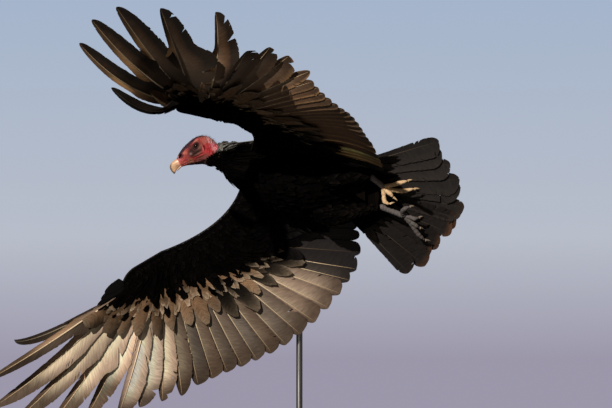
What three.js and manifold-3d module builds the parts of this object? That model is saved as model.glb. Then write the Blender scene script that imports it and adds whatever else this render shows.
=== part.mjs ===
// A turkey vulture banking to its right, wings swept forward, held by a plain display stand.
// Millimetres and degrees, +Z up.  The origin is the centre of the stand's underside.
// The bird flies towards -X.  Its own frame has x forward, y to its left and z to its back.
import * as THREE from 'three';
import Module from 'manifold-3d';
import { mergeVertices } from 'three/addons/utils/BufferGeometryUtils.js';

const wasm = await Module();
wasm.setup();

// ---------------------------------------------------------------- driving dimensions
const GAP = 0.4;

// Attitude of the whole bird: between the shoulder joints lies the origin of its frame.
const BODY = { x: -60, y: -100, z: 720, bank: 53, climb: 10, yaw: 5 };

// Trunk stations: distance forward, half width, half depth, height of the centre.
const TRUNK = [
  { x: 80, width: 45, depth: 43, rise: 22 },
  { x: 52, width: 60, depth: 57, rise: 16 },
  { x: 12, width: 70, depth: 67, rise: 8 },
  { x: -40, width: 72, depth: 69, rise: 4 },
  { x: -90, width: 68, depth: 62, rise: 5 },
  { x: -135, width: 58, depth: 49, rise: 8 },
  { x: -180, width: 43, depth: 31, rise: 8 },
  { x: -230, width: 22, depth: 12, rise: 4 },
];
const TRUNK_RINGS = 13;
const TRUNK_SIDES = 20;

// The head keeps level: nose down by pitch, not banked.  Its stations run from the bill's root
// to the nape, each a slice between a point on the crown line and one on the jaw line.
const HEAD = { forward: 159, left: 12, up: 38, pitch: 30 };
const HEAD_SLICES = [
  { top: [60, 11.5], low: [59, -9], width: 7 },
  { top: [51, 18.5], low: [51, -11], width: 8.5 },
  { top: [39, 24.5], low: [40, -13], width: 12 },
  { top: [24, 29], low: [28, -18], width: 17.5 },
  { top: [8, 31.8], low: [16, -24], width: 21.5 },
  { top: [-6, 31], low: [7, -31], width: 22.5 },
  { top: [-19, 25], low: [0, -37], width: 22 },
  { top: [-29, 13], low: [-6, -41], width: 21 },
  { top: [-34, -5], low: [-12, -45], width: 21 },
];
const HEAD_SIDES = 16;
const NECK_RINGS = 6;

const EYE = { forward: 8.3, out: 16.1, up: 15.2, radius: 6.4 };
const NOSTRIL = { forward: 50.3, up: 12.6, length: 8.6, height: 4.6 };
// The horny bill: root to front of the curve, then the hook's tip; the lower bill ends inside it.
const BILL = {
  root: 60.4, front: 83, bend: 0.63, tipForward: 79.5, tipDrop: -14.6, gapeDrop: -5.5, lowerEnd: 72,
};

// Wing bones and feathers.  Chord is the length of a feather from its root to its tip.
const ARM = { shoulderOut: 52, shoulderUp: 20, upper: 145, fore: 172, hand: 128 };
const WING_POSE = {
  left: {
    armDroop: 37, armDip: 4, handDroop: 29.5, handDip: 23,
    upper: 15, fore: 48, hand: 45,
    tertial: -76, elbow: -55, secondary: -44, wrist: -39, curls: [-22, -30, -11, -2],
    tertialChord: 244, elbowChord: 270, secondaryChord: 299,
    fan: [-38, -28, -19, -7, -3, 16, 27, 34, 40, 38],
    fanCurl: [0, 6, 8, 6, 65, 14, 12, 26, 41, 48],
    fanLift: [0, 0, 1, 5, 6, -7, -10, -4, 5, 22],
    leadRoot: 60, bowOut: 225, bowFore: 50, leadWrist: 26, leadTip: 38,
  },
  right: {
    armDroop: 23, armDip: 7, handDroop: 46, handDip: 27,
    upper: 11, fore: 68, hand: 52,
    tertial: -88, elbow: -91, secondary: -52, wrist: -22, curls: [3, 3, 3, 3],
    tertialChord: 185, elbowChord: 265, secondaryChord: 275,
    fan: [-19, -12, -4, 3, 12, 22, 31, 38, 48, 49.5],
    fanCurl: [2, 6, 12, 17, 22, 28, 36, 44, 27, 130],
    fanLift: [0, 0, 0, 0, 0, 1, 3, 5, 8, 8],
    leadRoot: 62, bowOut: 95, bowFore: 72, leadWrist: 40, leadTip: 38,
  },
};
const TERTIALS = 5;
const SECONDARIES = 13;
const WRIST_CHORD = 280;
const PRIMARIES = [
  { at: 0.05, chord: 288, half: 29 },
  { at: 0.13, chord: 290, half: 29 },
  { at: 0.21, chord: 300, half: 29 },
  { at: 0.29, chord: 325, half: 29 },
  { at: 0.37, chord: 342, half: 24 },
  { at: 0.45, chord: 415, half: 22 },
  { at: 0.56, chord: 440, half: 21 },
  { at: 0.68, chord: 440, half: 20 },
  { at: 0.80, chord: 420, half: 17 },
  { at: 0.92, chord: 340, half: 13 },
];
const FIRST_FINGER = 5;
const FINGER_ROOT = 0.34;
const COVERED = 0.3;
const PART = 0.003;
const VANE = { root: 3.6, tip: 1.2 };
const FLESH = { arm: 27, wrist: 20, tip: 9, rear: 5.5 };
const SCALLOP = { tertial: 0.06, secondary: 0.075, primary: 0.12 };

// Tail: twelve feathers fanned about a point inside the rump.
const TAIL = {
  x: -97, z: 25, droop: 7, roll: 14, spread: 32, edge: 4, cup: 4,
  feathers: 12, root: 62, middle: 338, side: 292,
};

// Legs trail under the tail.  Each point is forward, left and up in the bird's frame.
const LEGS = {
  left: {
    thigh: [[-92, 40, -22, 32], [-145, 62, -38, 26], [-184, 76, -43, 15], [-205, 79, -42, 8.5]],
    ankle: [-205, 79, -42],
    ball: [-243, 39, -18],
    toes: [
      { base: [-251, 37, -29], bend: [-259, 38, -37], root: [-265, 34, -41], tip: [-277, 29, -46] },
      { base: [-247, 24, -28], bend: [-251, 15, -37], root: [-261, 14, -43], tip: [-272, 25, -48] },
      { base: [-262, 40, -24], bend: [-285, 45, -28], root: [-308, 53, -24], tip: [-322, 52, -19] },
      { base: [-259, 51, -22], bend: [-274, 63, -26], root: [-289, 72, -26], tip: [-301, 75, -22] },
    ],
  },
  right: {
    thigh: [[-92, -40, -22, 32], [-150, -42, -38, 26], [-212, -18, -34, 14], [-242, -5, -30, 8.5]],
    ankle: [-242, -5, -30],
    ball: [-302, -15, -38],
    toes: [
      { base: [-293, 2, -45], bend: [-297, 13, -48], root: [-305, 19, -46], tip: [-317, 20, -42] },
      { base: [-314, -11, -43], bend: [-323, -10, -47], root: [-331, -7, -45], tip: [-341, -5, -40] },
      { base: [-318, -27, -44], bend: [-340, -48, -50], root: [-356, -60, -50], tip: [-371, -64, -45] },
      { base: [-316, -21, -44], bend: [-328, -26, -48], root: [-338, -32, -47], tip: [-349, -37, -42] },
    ],
  },
};
const SHANK = { radius: 6.4, knuckle: 4.8, toe: 4.1, claw: 2.8 };
const TUBE_SIDES = 7;

// Display stand: a flat disc, an upright post and one arm that meets the bird's back.
const STAND = { radius: 230, thick: 8, edge: 2.5, rod: 7, arm: 5, postX: 0, postY: 84, postTop: 668 };
const ARM_MEETS = { x: -38, y: -12, z: 40 };

// ---------------------------------------------------------------- small helpers
const rad = THREE.MathUtils.degToRad;
const mix = THREE.MathUtils.lerp;
const vec = (x, y, z) => new THREE.Vector3(x, y, z);
const combine = (...terms) => terms.reduce((sum, [k, v]) => sum.addScaledVector(v, k), vec(0, 0, 0));

// A smooth curve through knots [x, value]: slopes are the averages of the neighbouring chords.
function through(knots, x) {
  const last = knots.length - 1;
  let i = 0;
  while (i < last - 1 && x > knots[i + 1][0]) {
    i += 1;
  }
  const chord = (k) => (knots[k + 1][1] - knots[k][1]) / (knots[k + 1][0] - knots[k][0]);
  const slope = (k) => (chord(Math.max(k - 1, 0)) + chord(Math.min(k, last - 1))) / 2;
  const span = knots[i + 1][0] - knots[i][0];
  const s = THREE.MathUtils.clamp((x - knots[i][0]) / span, 0, 1);
  const a = (1 + 2 * s) * (1 - s) ** 2;
  const b = s * (1 - s) ** 2;
  const c = s * s * (3 - 2 * s);
  const d = s * s * (s - 1);
  return a * knots[i][1] + c * knots[i + 1][1] + span * (b * slope(i) + d * slope(i + 1));
}

// ---------------------------------------------------------------- closed skins over rings
function closedMesh(points, faces) {
  let volume = 0;
  const cross = vec(0, 0, 0);
  for (let i = 0; i < faces.length; i += 3) {
    cross.crossVectors(points[faces[i + 1]], points[faces[i + 2]]);
    volume += points[faces[i]].dot(cross);
  }
  const facing = volume < 0 ? faces.reverse() : faces;
  const geometry = new THREE.BufferGeometry();
  geometry.setAttribute('position', new THREE.Float32BufferAttribute(points.flatMap((p) => p.toArray()), 3));
  geometry.setIndex(facing);
  return geometry;
}

function bridge(faces, rings, sides) {
  for (let r = 0; r + 1 < rings; r += 1) {
    for (let s = 0; s < sides; s += 1) {
      const a = r * sides + s;
      const b = r * sides + ((s + 1) % sides);
      faces.push(a, b, a + sides, b, b + sides, a + sides);
    }
  }
}

// Round rings, each end closed by a fan about its middle.
function loftRound(rings) {
  const sides = rings[0].length;
  const points = rings.flat();
  const faces = [];
  bridge(faces, rings.length, sides);
  const ends = [[0, false], [rings.length - 1, true]];
  for (const [ring, last] of ends) {
    const middle = points.length;
    points.push(combine(...rings[ring].map((p) => [1 / sides, p])));
    for (let s = 0; s < sides; s += 1) {
      const a = ring * sides + s;
      const b = ring * sides + ((s + 1) % sides);
      faces.push(...(last ? [a, b, middle] : [b, a, middle]));
    }
  }
  return closedMesh(points, faces);
}

// Flat sections, each a list of [upper, lower] pairs; ends are closed by a ladder.
function loftFlat(sections) {
  const pairs = sections[0].length;
  const sides = 2 * pairs;
  const points = sections.flatMap((s) => [...s.map((p) => p[0]), ...s.map((p) => p[1]).reverse()]);
  const faces = [];
  bridge(faces, sections.length, sides);
  const ends = [[0, false], [sections.length - 1, true]];
  for (const [ring, last] of ends) {
    for (let s = 0; s + 1 < pairs; s += 1) {
      const a = ring * sides + s;
      const b = a + 1;
      const c = ring * sides + sides - 1 - s;
      const d = c - 1;
      faces.push(...(last ? [a, b, c, b, d, c] : [b, a, c, b, c, d]));
    }
  }
  return closedMesh(points, faces);
}

function solidOf(geometry) {
  const bare = geometry.clone();
  bare.deleteAttribute('normal');
  bare.deleteAttribute('uv');
  const merged = mergeVertices(bare, 1e-4);
  const mesh = new wasm.Mesh({
    numProp: 3,
    vertProperties: new Float32Array(merged.attributes.position.array),
    triVerts: new Uint32Array(merged.index.array),
  });
  return new wasm.Manifold(mesh);
}

function geometryOf(solid) {
  const mesh = solid.getMesh();
  const geometry = new THREE.BufferGeometry();
  geometry.setAttribute('position', new THREE.BufferAttribute(new Float32Array(mesh.vertProperties), 3));
  geometry.setIndex(new THREE.BufferAttribute(new Uint32Array(mesh.triVerts), 1));
  return geometry;
}

function largestPiece(solid) {
  const pieces = solid.decompose();
  return pieces.reduce((best, piece) => (piece.volume() > best.volume() ? piece : best));
}

const cut = (geometry, ...tools) => geometryOf(
  largestPiece(tools.reduce((solid, tool) => solid.subtract(solidOf(tool)), solidOf(geometry))),
);
const join = (...parts) => geometryOf(parts.map(solidOf).reduce((sum, part) => sum.add(part)));

// A ring of points about a centre: across and up are half-axes of the ellipse.
function ellipse(centre, across, up, sides, power = 1) {
  const ring = [];
  for (let s = 0; s < sides; s += 1) {
    const angle = (2 * Math.PI * s) / sides;
    const c = Math.sign(Math.cos(angle)) * Math.abs(Math.cos(angle)) ** power;
    const n = Math.sign(Math.sin(angle)) * Math.abs(Math.sin(angle)) ** power;
    ring.push(combine([1, centre], [c, across], [n, up]));
  }
  return ring;
}

// A round tube along points [x, y, z] with a radius at each.
function tube(stops, radii, sides = TUBE_SIDES) {
  const points = stops.map((p) => vec(...p));
  const rings = points.map((p, i) => {
    const before = points[Math.max(i - 1, 0)];
    const after = points[Math.min(i + 1, points.length - 1)];
    const along = combine([1, after], [-1, before]).normalize();
    const across = vec(0, 0, 1).cross(along).normalize();
    const up = along.clone().cross(across);
    return ellipse(p, across.multiplyScalar(radii[i]), up.multiplyScalar(radii[i]), sides);
  });
  return loftRound(rings);
}

// ---------------------------------------------------------------- trunk, neck and head
const trunkKnots = (key) => TRUNK.map((t) => [-t.x, t[key]]);

function trunkRing(x, grow) {
  const width = through(trunkKnots('width'), -x) + grow;
  const depth = through(trunkKnots('depth'), -x) + grow;
  const rise = through(trunkKnots('rise'), -x);
  return ellipse(vec(x, 0, rise), vec(0, width, 0), vec(0, 0, depth), TRUNK_SIDES, 0.94);
}

function trunkShape(grow) {
  const front = TRUNK[0].x;
  const rear = TRUNK[TRUNK.length - 1].x;
  const rings = [];
  for (let i = 0; i < TRUNK_RINGS; i += 1) {
    const share = i / (TRUNK_RINGS - 1);
    const ring = trunkRing(mix(front, rear, share), grow);
    const shift = grow * (1 - 2 * share);
    rings.push(ring.map((p) => p.setX(p.x + shift)));
  }
  return loftRound(rings);
}

function headRing(slice, sides) {
  const top = vec(slice.top[0], 0, slice.top[1]);
  const low = vec(slice.low[0], 0, slice.low[1]);
  const centre = combine([0.5, top], [0.5, low]);
  const up = combine([0.5, top], [-0.5, low]);
  return ellipse(centre, vec(0, slice.width, 0), up, sides, 0.9);
}

function nostrilCutter() {
  const length = new THREE.Vector3(NOSTRIL.length / 2, 0, -NOSTRIL.length / 4);
  const height = new THREE.Vector3(NOSTRIL.height / 4, 0, NOSTRIL.height / 2);
  const ends = [-20, 20].map((y) => ellipse(vec(NOSTRIL.forward, y, NOSTRIL.up), length, height, 10));
  return loftRound(ends);
}

function eyeball(side, radius) {
  const ball = new THREE.SphereGeometry(radius, 12, 7);
  ball.translate(EYE.forward, side * EYE.out, EYE.up);
  return ball;
}

function headShape() {
  const skull = loftRound(HEAD_SLICES.map((slice) => headRing(slice, HEAD_SIDES)));
  return cut(skull, eyeball(1, EYE.radius + GAP), eyeball(-1, EYE.radius + GAP), nostrilCutter());
}

// The upper bill arches forward and turns down into the hook.
function upperBill() {
  const root = HEAD_SLICES[0];
  const rings = [];
  const steps = 7;
  for (let i = 0; i < steps; i += 1) {
    const s = i / (steps - 1);
    const topX = mix(BILL.root, BILL.front, Math.sin(s * Math.PI * BILL.bend));
    const topZ = mix(root.top[1], BILL.tipDrop, s ** 2.4);
    const lowX = mix(BILL.root, BILL.tipForward - 1, s ** 1.3);
    const lowZ = mix(BILL.gapeDrop, BILL.tipDrop + 0.8, s ** 2.4);
    const width = mix(root.width, 1.2, s ** 1.4);
    rings.push(headRing({ top: [topX, topZ], low: [lowX, lowZ], width }, 12));
  }
  return loftRound(rings);
}

function lowerBill() {
  const root = HEAD_SLICES[0];
  const rings = [];
  const steps = 5;
  for (let i = 0; i < steps; i += 1) {
    const s = i / (steps - 1);
    const x = mix(BILL.root, BILL.lowerEnd, s);
    const topZ = mix(BILL.gapeDrop, BILL.gapeDrop - 4.5, s * s) - GAP;
    const lowZ = mix(root.low[1], BILL.gapeDrop - 6.5, s ** 0.9);
    rings.push(headRing({ top: [x, topZ], low: [x, lowZ], width: mix(5.6, 1.6, s ** 1.6) }, 12));
  }
  return loftRound(rings);
}

function neckShape(headInBird) {
  const nape = HEAD_SLICES[HEAD_SLICES.length - 1];
  const top = vec(nape.top[0], 0, nape.top[1]);
  const low = vec(nape.low[0], 0, nape.low[1]);
  const start = combine([0.5, top], [0.5, low]).applyMatrix4(headInBird);
  const startUp = combine([0.5, top], [-0.5, low]).applyMatrix4(headInBird.clone().setPosition(0, 0, 0));
  const startAcross = vec(0, nape.width, 0).applyMatrix4(headInBird.clone().setPosition(0, 0, 0));
  const leave = startUp.clone().cross(startAcross).normalize();
  const chest = TRUNK[0];
  const end = vec(chest.x + GAP, 0, chest.rise);
  if (leave.x > 0) {
    leave.negate();
  }
  start.addScaledVector(leave, GAP);
  const pull = start.distanceTo(end) * 0.4;
  const path = new THREE.CubicBezierCurve3(
    start,
    combine([1, start], [pull, leave]),
    combine([1, end], [pull, vec(1, 0, 0.12)]),
    end,
  );
  const rings = [];
  for (let i = 0; i < NECK_RINGS; i += 1) {
    const s = i / (NECK_RINGS - 1);
    const up = combine([1 - s, startUp.clone().normalize()], [s, vec(0, 0, 1)]).normalize();
    const across = combine([1 - s, startAcross.clone().normalize()], [s, vec(0, 1, 0)]).normalize();
    const swell = s ** 0.75;
    up.multiplyScalar(mix(startUp.length(), chest.depth, swell));
    across.multiplyScalar(mix(startAcross.length(), chest.width, swell));
    rings.push(ellipse(path.getPoint(s), across, up, HEAD_SIDES, 0.93));
  }
  return loftRound(rings);
}

// ---------------------------------------------------------------- wings
// Unit directions of a wing plane: out along the wing, fore towards the leading edge, over its back.
function plane(droop, dip) {
  const out = vec(0, Math.cos(rad(droop)), -Math.sin(rad(droop)));
  const level = vec(0, Math.sin(rad(droop)), Math.cos(rad(droop)));
  const fore = combine([Math.cos(rad(dip)), vec(1, 0, 0)], [-Math.sin(rad(dip)), level]);
  const over = combine([Math.cos(rad(dip)), level], [Math.sin(rad(dip)), vec(1, 0, 0)]);
  return { out, fore, over };
}

const heading = (p, angle) => combine([Math.cos(rad(angle)), p.out], [Math.sin(rad(angle)), p.fore]);

// One wing as a continuous fan of feathers.  Span runs 0 shoulder, 1 elbow, 2 wrist, 3 tip.
function wingFrame(pose) {
  const arm = plane(pose.armDroop, pose.armDip);
  const hand = plane(pose.handDroop, pose.handDip);
  const shoulder = vec(0, ARM.shoulderOut, ARM.shoulderUp);
  const elbow = combine([1, shoulder], [ARM.upper, heading(arm, pose.upper)]);
  const wrist = combine([1, elbow], [ARM.fore, heading(arm, pose.fore)]);
  const tip = combine([1, wrist], [ARM.hand, heading(hand, pose.hand)]);
  const fan = (values) => PRIMARIES.map((p, k) => [2 + p.at, values[k]]);
  const angles = [
    [0, pose.tertial], [1, pose.elbow], [1.5, pose.secondary], [2, pose.wrist],
    ...fan(pose.fan), [3, pose.fan[9] + 6],
  ];
  const chords = [
    [0, pose.tertialChord], [1, pose.elbowChord], [1.5, pose.secondaryChord], [2, WRIST_CHORD],
    ...PRIMARIES.map((p) => [2 + p.at, p.chord]), [3, 300],
  ];
  const inner = [0, 1, 1.5, 1.9].map((t, k) => [t, pose.curls[k]]);
  const curls = [...inner, ...fan(pose.fanCurl), [3, pose.fanCurl[9]]];
  const lifts = [[0, 0], [2, 0], ...fan(pose.fanLift), [3, pose.fanLift[9]]];
  const hands = [[0, 0], [1.6, 0], [2, 0.4], [2.29, 1], [3, 1]];

  function bone(t) {
    if (t <= 1) {
      return shoulder.clone().lerp(elbow, t);
    }
    return t <= 2 ? elbow.clone().lerp(wrist, t - 1) : wrist.clone().lerp(tip, t - 2);
  }

  // The leading edge: a web of skin from shoulder to wrist, then the front of the hand.
  function lead(t) {
    const fromRoot = combine([1, shoulder], [pose.leadRoot, arm.fore]);
    const pastWrist = heading(hand, pose.hand + 90);
    const atWrist = combine([1, wrist], [pose.leadWrist, pastWrist]);
    if (t >= 2) {
      const end = Math.sqrt(1 - 0.9 * Math.max(0, (t - 2.6) / 0.4) ** 2);
      return combine([1, bone(t)], [end * mix(pose.leadWrist, pose.leadTip, t - 2), pastWrist]);
    }
    const bow = combine([1, shoulder], [pose.bowOut, arm.out], [pose.bowFore, arm.fore]);
    return new THREE.QuadraticBezierCurve3(fromRoot, bow, atWrist).getPoint(t / 2);
  }

  function feather(t) {
    const h = THREE.MathUtils.clamp(through(hands, t), 0, 1);
    const angle = through(angles, t);
    const lift = rad(through(lifts, t));
    const over = combine([1 - h, arm.over], [h, hand.over]).normalize();
    const flat = combine([1 - h, heading(arm, angle)], [h, heading(hand, angle)]);
    flat.addScaledVector(over, -flat.dot(over)).normalize();
    const along = combine([Math.cos(lift), flat], [-Math.sin(lift), over]);
    const back = combine([Math.cos(lift), over], [Math.sin(lift), flat]);
    return { root: bone(t), along, over: back, chord: through(chords, t), curl: rad(through(curls, t)) };
  }
  return { lead, bone, feather, shoulder };
}

// A feather's shaft turns up by curl times u squared; the sums are that turn's cosine and sine series.
function shaft(f, u, chord = f.chord) {
  const b = f.curl;
  const ahead = u - (b ** 2 * u ** 5) / 10 + (b ** 4 * u ** 9) / 216;
  const rise = (b * u ** 3) / 3 - (b ** 3 * u ** 7) / 42 + (b ** 5 * u ** 11) / 1320;
  const turn = b * u * u;
  return {
    point: combine([1, f.root], [chord * ahead, f.along], [chord * rise, f.over]),
    along: combine([Math.cos(turn), f.along], [Math.sin(turn), f.over]),
    over: combine([Math.cos(turn), f.over], [-Math.sin(turn), f.along]),
  };
}

const pair = (point, over, thick) => [
  combine([1, point], [thick / 2, over]),
  combine([1, point], [-thick / 2, over]),
];

// Flesh and short feathers over the bones, from the leading edge back over the feathers' roots.
function wingFlesh(wing, from, to, count, grow = 0) {
  const stations = [0, 0.05, 0.16, 0.36, 0.66, 1];
  const sections = [];
  for (let i = 0; i < count; i += 1) {
    const t = mix(from, to, i / (count - 1));
    const f = wing.feather(t);
    const lead = wing.lead(t);
    const rear = shaft(f, COVERED + grow / f.chord).point;
    const bone = f.root;
    const most = through([[0, FLESH.arm], [1, FLESH.arm], [2, FLESH.wrist], [3, FLESH.tip]], t);
    sections.push(stations.map((s) => {
      const first = 0.45;
      const point = s < first
        ? lead.clone().lerp(bone, s / first)
        : bone.clone().lerp(rear, (s - first) / (1 - first));
      const round = Math.sqrt(1 - (1 - Math.min(s / 0.3, 1)) ** 2);
      const fall = 1 - THREE.MathUtils.smoothstep(s, 0.3, 1);
      return pair(point, f.over, 2 + 2 * grow + (FLESH.rear - 2) * s + (most - 4) * round * fall);
    }));
  }
  return loftFlat(sections);
}

// A row of flight feathers as one scalloped blade between two places on the span.
function featherRow(wing, from, to, count, scallop, reach, stations, perFeather) {
  const steps = count * perFeather;
  const sections = [];
  for (let i = 0; i <= steps; i += 1) {
    const t = mix(from, to, i / steps);
    const f = wing.feather(t);
    const across = Math.abs(2 * ((i / perFeather) % 1) - 1);
    const limit = reach(t) * (1 - scallop * across ** 2);
    const start = COVERED + (GAP + 0.3) / f.chord;
    sections.push(stations.map((s) => {
      const u = mix(start, limit, s);
      const spot = shaft(f, u);
      return pair(spot.point, spot.over, mix(VANE.root, VANE.tip, (u - COVERED) / (1 - COVERED)));
    }));
  }
  return loftFlat(sections);
}

const armRow = (wing, from, to, count, scallop) => (
  featherRow(wing, from, to, count, scallop, () => 1, [0, 0.35, 0.7, 1], 3)
);

// The free outer part of a long primary: a slim blade with a rounded point.
function finger(wing, k) {
  const primary = PRIMARIES[k - 1];
  const f = wing.feather(2 + primary.at);
  const sections = [FINGER_ROOT, 0.5, 0.64, 0.78, 0.91, 1].map((u) => {
    const spot = shaft(f, u);
    const side = spot.along.clone().cross(spot.over).normalize();
    const taper = Math.sqrt(Math.max(1 - ((u - 0.45) / 0.56) ** 4, 0.04));
    const half = primary.half * (u > 0.45 ? taper : 1) * mix(1.15, 0.85, u);
    const thick = mix(VANE.root - 1.2, VANE.tip, u);
    return [-1, 1].map((across) => pair(combine([1, spot.point], [half * across, side]), spot.over, thick));
  });
  return loftFlat(sections);
}

function primaryFan(wing) {
  const last = 2 + PRIMARIES[9].at + 0.05;
  const open = 2 + PRIMARIES[FIRST_FINGER - 1].at - 0.03;
  const closed = featherRow(wing, 2 + PART, open, 4, SCALLOP.primary, () => 1, [0, 0.35, 0.7, 1], 3);
  const reach = (t) => mix(0.6, 0.42, (t - open) / (last - open));
  const web = featherRow(wing, open - 0.02, last, 6, 0, reach, [0, 1], 1);
  const fingers = [];
  for (let k = FIRST_FINGER; k <= 10; k += 1) {
    fingers.push(finger(wing, k));
  }
  return cut(join(closed, web, ...fingers), wingFlesh(wing, 2, 3, 7, 2 * GAP));
}

// ---------------------------------------------------------------- tail
function tailFan() {
  const droop = rad(TAIL.droop);
  const back = vec(-Math.cos(droop), 0, -Math.sin(droop));
  const flat = vec(-Math.sin(droop), 0, Math.cos(droop));
  const apex = vec(TAIL.x, 0, TAIL.z);
  const perFeather = 3;
  const steps = TAIL.feathers * perFeather;
  const reach = TAIL.spread + TAIL.edge;
  const level = combine([Math.cos(rad(TAIL.roll)), vec(0, 1, 0)], [Math.sin(rad(TAIL.roll)), flat]);
  const over = combine([Math.cos(rad(TAIL.roll)), flat], [-Math.sin(rad(TAIL.roll)), vec(0, 1, 0)]);
  const sections = [];
  for (let i = 0; i <= steps; i += 1) {
    const share = (2 * i) / steps - 1;
    const angle = rad(reach * share);
    const out = combine([Math.cos(angle), back], [Math.sin(angle), level]);
    const across = Math.abs(2 * ((i / perFeather) % 1) - 1);
    const length = mix(TAIL.middle, TAIL.side, share * share) * (1 - 0.055 * across ** 2);
    const sag = TAIL.cup * share * share;
    sections.push([0, 0.4, 0.8, 1].map((s) => {
      const radius = mix(TAIL.root, length, s);
      const point = combine([1, apex], [radius, out], [-sag * s, over]);
      return pair(point, over, mix(VANE.root, VANE.tip, s));
    }));
  }
  return loftFlat(sections);
}

// ---------------------------------------------------------------- legs
function footShape(leg) {
  const shank = tube(
    [leg.ankle, leg.ankle.map((a, i) => mix(a, leg.ball[i], 0.5)), leg.ball],
    [SHANK.radius + 1, SHANK.radius - 0.6, SHANK.radius + 0.6],
  );
  const toes = leg.toes.map((toe) => tube(
    [leg.ball, toe.base, toe.bend, toe.root],
    [SHANK.radius - 0.5, SHANK.knuckle, SHANK.toe, SHANK.claw + 0.3],
  ));
  return join(shank, ...toes);
}

function clawShape(toe) {
  const root = vec(...toe.root);
  const tip = vec(...toe.tip);
  const along = combine([1, tip], [-1, root]).normalize();
  const start = combine([1, root], [GAP + SHANK.claw, along]);
  const arch = combine([0.5, start], [0.5, tip]).addScaledVector(vec(0, 0, 1), 1.2);
  return tube(
    [start.toArray(), arch.toArray(), tip.toArray()],
    [SHANK.claw, SHANK.claw * 0.75, 0.5],
    6,
  );
}

// ---------------------------------------------------------------- stand
function standBase() {
  const { radius, thick, edge } = STAND;
  const outline = [[0, 0], [radius, 0], [radius, thick - edge], [radius - edge, thick], [0, thick]];
  const disc = new THREE.LatheGeometry(outline.map(([r, z]) => new THREE.Vector2(r, z)), 36);
  disc.rotateX(Math.PI / 2);
  return disc;
}

function rodBetween(a, b, radius) {
  const along = combine([1, b], [-1, a]);
  const rod = new THREE.CylinderGeometry(radius, radius, along.length(), 16);
  rod.applyQuaternion(new THREE.Quaternion().setFromUnitVectors(vec(0, 1, 0), along.normalize()));
  const middle = combine([0.5, a], [0.5, b]);
  rod.translate(middle.x, middle.y, middle.z);
  return rod;
}

// ---------------------------------------------------------------- materials and assembly
const finish = (color, roughness, metalness = 0) => (
  () => new THREE.MeshStandardMaterial({ color, roughness, metalness })
);
const FINISH = {
  plumage: finish(0x17130f, 0.75),
  vane: finish(0x4a4038, 0.6),
  skin: finish(0x9c3a38, 0.6),
  horn: finish(0xd9c3a0, 0.4),
  scale: finish(0xb3a894, 0.6),
  eye: finish(0x20120c, 0.1),
  stand: finish(0x1b1c1e, 0.4, 0.6),
  rod: finish(0x8f9296, 0.35, 1),
};

function part(name, geometry, look) {
  const mesh = new THREE.Mesh(geometry, look());
  mesh.name = name;
  return mesh;
}

function addWing(bird, side) {
  const mirror = side === 'left' ? 1 : -1;
  const wing = wingFrame(WING_POSE[side]);
  const trunk = trunkShape(GAP);
  const shapes = [
    [`upper_arm_${side}`, wingFlesh(wing, 0, 1 - PART, 6), FINISH.plumage, true],
    [`forearm_${side}`, wingFlesh(wing, 1 + PART, 2 - PART, 9), FINISH.plumage, true],
    [`hand_${side}`, wingFlesh(wing, 2 + PART, 3, 7), FINISH.plumage, false],
    [`tertials_${side}`, armRow(wing, 0, 1 - PART, TERTIALS, SCALLOP.tertial), FINISH.plumage, true],
    [`secondaries_${side}`, armRow(wing, 1 + PART, 2 - PART, SECONDARIES, SCALLOP.secondary),
      FINISH.vane, false],
    [`primaries_${side}`, primaryFan(wing), FINISH.vane, false],
  ];
  for (const [name, geometry, look, meetsTrunk] of shapes) {
    const whole = closedMesh(pointsOf(geometry, mirror), Array.from(geometry.index.array));
    bird.add(part(name, meetsTrunk ? cut(whole, trunk) : whole, look));
  }
}

function pointsOf(geometry, mirror) {
  const place = geometry.attributes.position;
  const points = [];
  for (let i = 0; i < place.count; i += 1) {
    points.push(vec(place.getX(i), mirror * place.getY(i), place.getZ(i)));
  }
  return points;
}

function addLeg(bird, side) {
  const leg = LEGS[side];
  const shank = footShape(leg);
  const thigh = tube(leg.thigh.map((p) => p.slice(0, 3)), leg.thigh.map((p) => p[3]), 12);
  const above = leg.ankle.map((a, i) => a + (a - leg.ball[i]) * 0.03);
  const sleeve = tube([above, leg.ball], [SHANK.radius + 1 + 2 * GAP, SHANK.radius + 2 * GAP]);
  bird.add(part(`thigh_${side}`, cut(thigh, trunkShape(GAP), sleeve), FINISH.plumage));
  bird.add(part(`foot_${side}`, shank, FINISH.scale));
  leg.toes.forEach((toe, i) => bird.add(part(`claw_${side}_${i + 1}`, clawShape(toe), FINISH.horn)));
}

function addHead(bird) {
  const head = new THREE.Group();
  const level = new THREE.Quaternion().setFromEuler(
    new THREE.Euler(0, rad(HEAD.pitch), Math.PI, 'ZYX'),
  );
  head.position.set(HEAD.forward, HEAD.left, HEAD.up);
  head.quaternion.copy(bird.quaternion).invert().multiply(level);
  head.updateMatrix();
  head.add(part('head', headShape(), FINISH.skin));
  head.add(part('bill_upper', upperBill(), FINISH.horn));
  head.add(part('bill_lower', lowerBill(), FINISH.horn));
  head.add(part('eye_left', eyeball(1, EYE.radius), FINISH.eye));
  head.add(part('eye_right', eyeball(-1, EYE.radius), FINISH.eye));
  bird.add(head);
  bird.add(part('neck', neckShape(head.matrix), FINISH.plumage));
}

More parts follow.
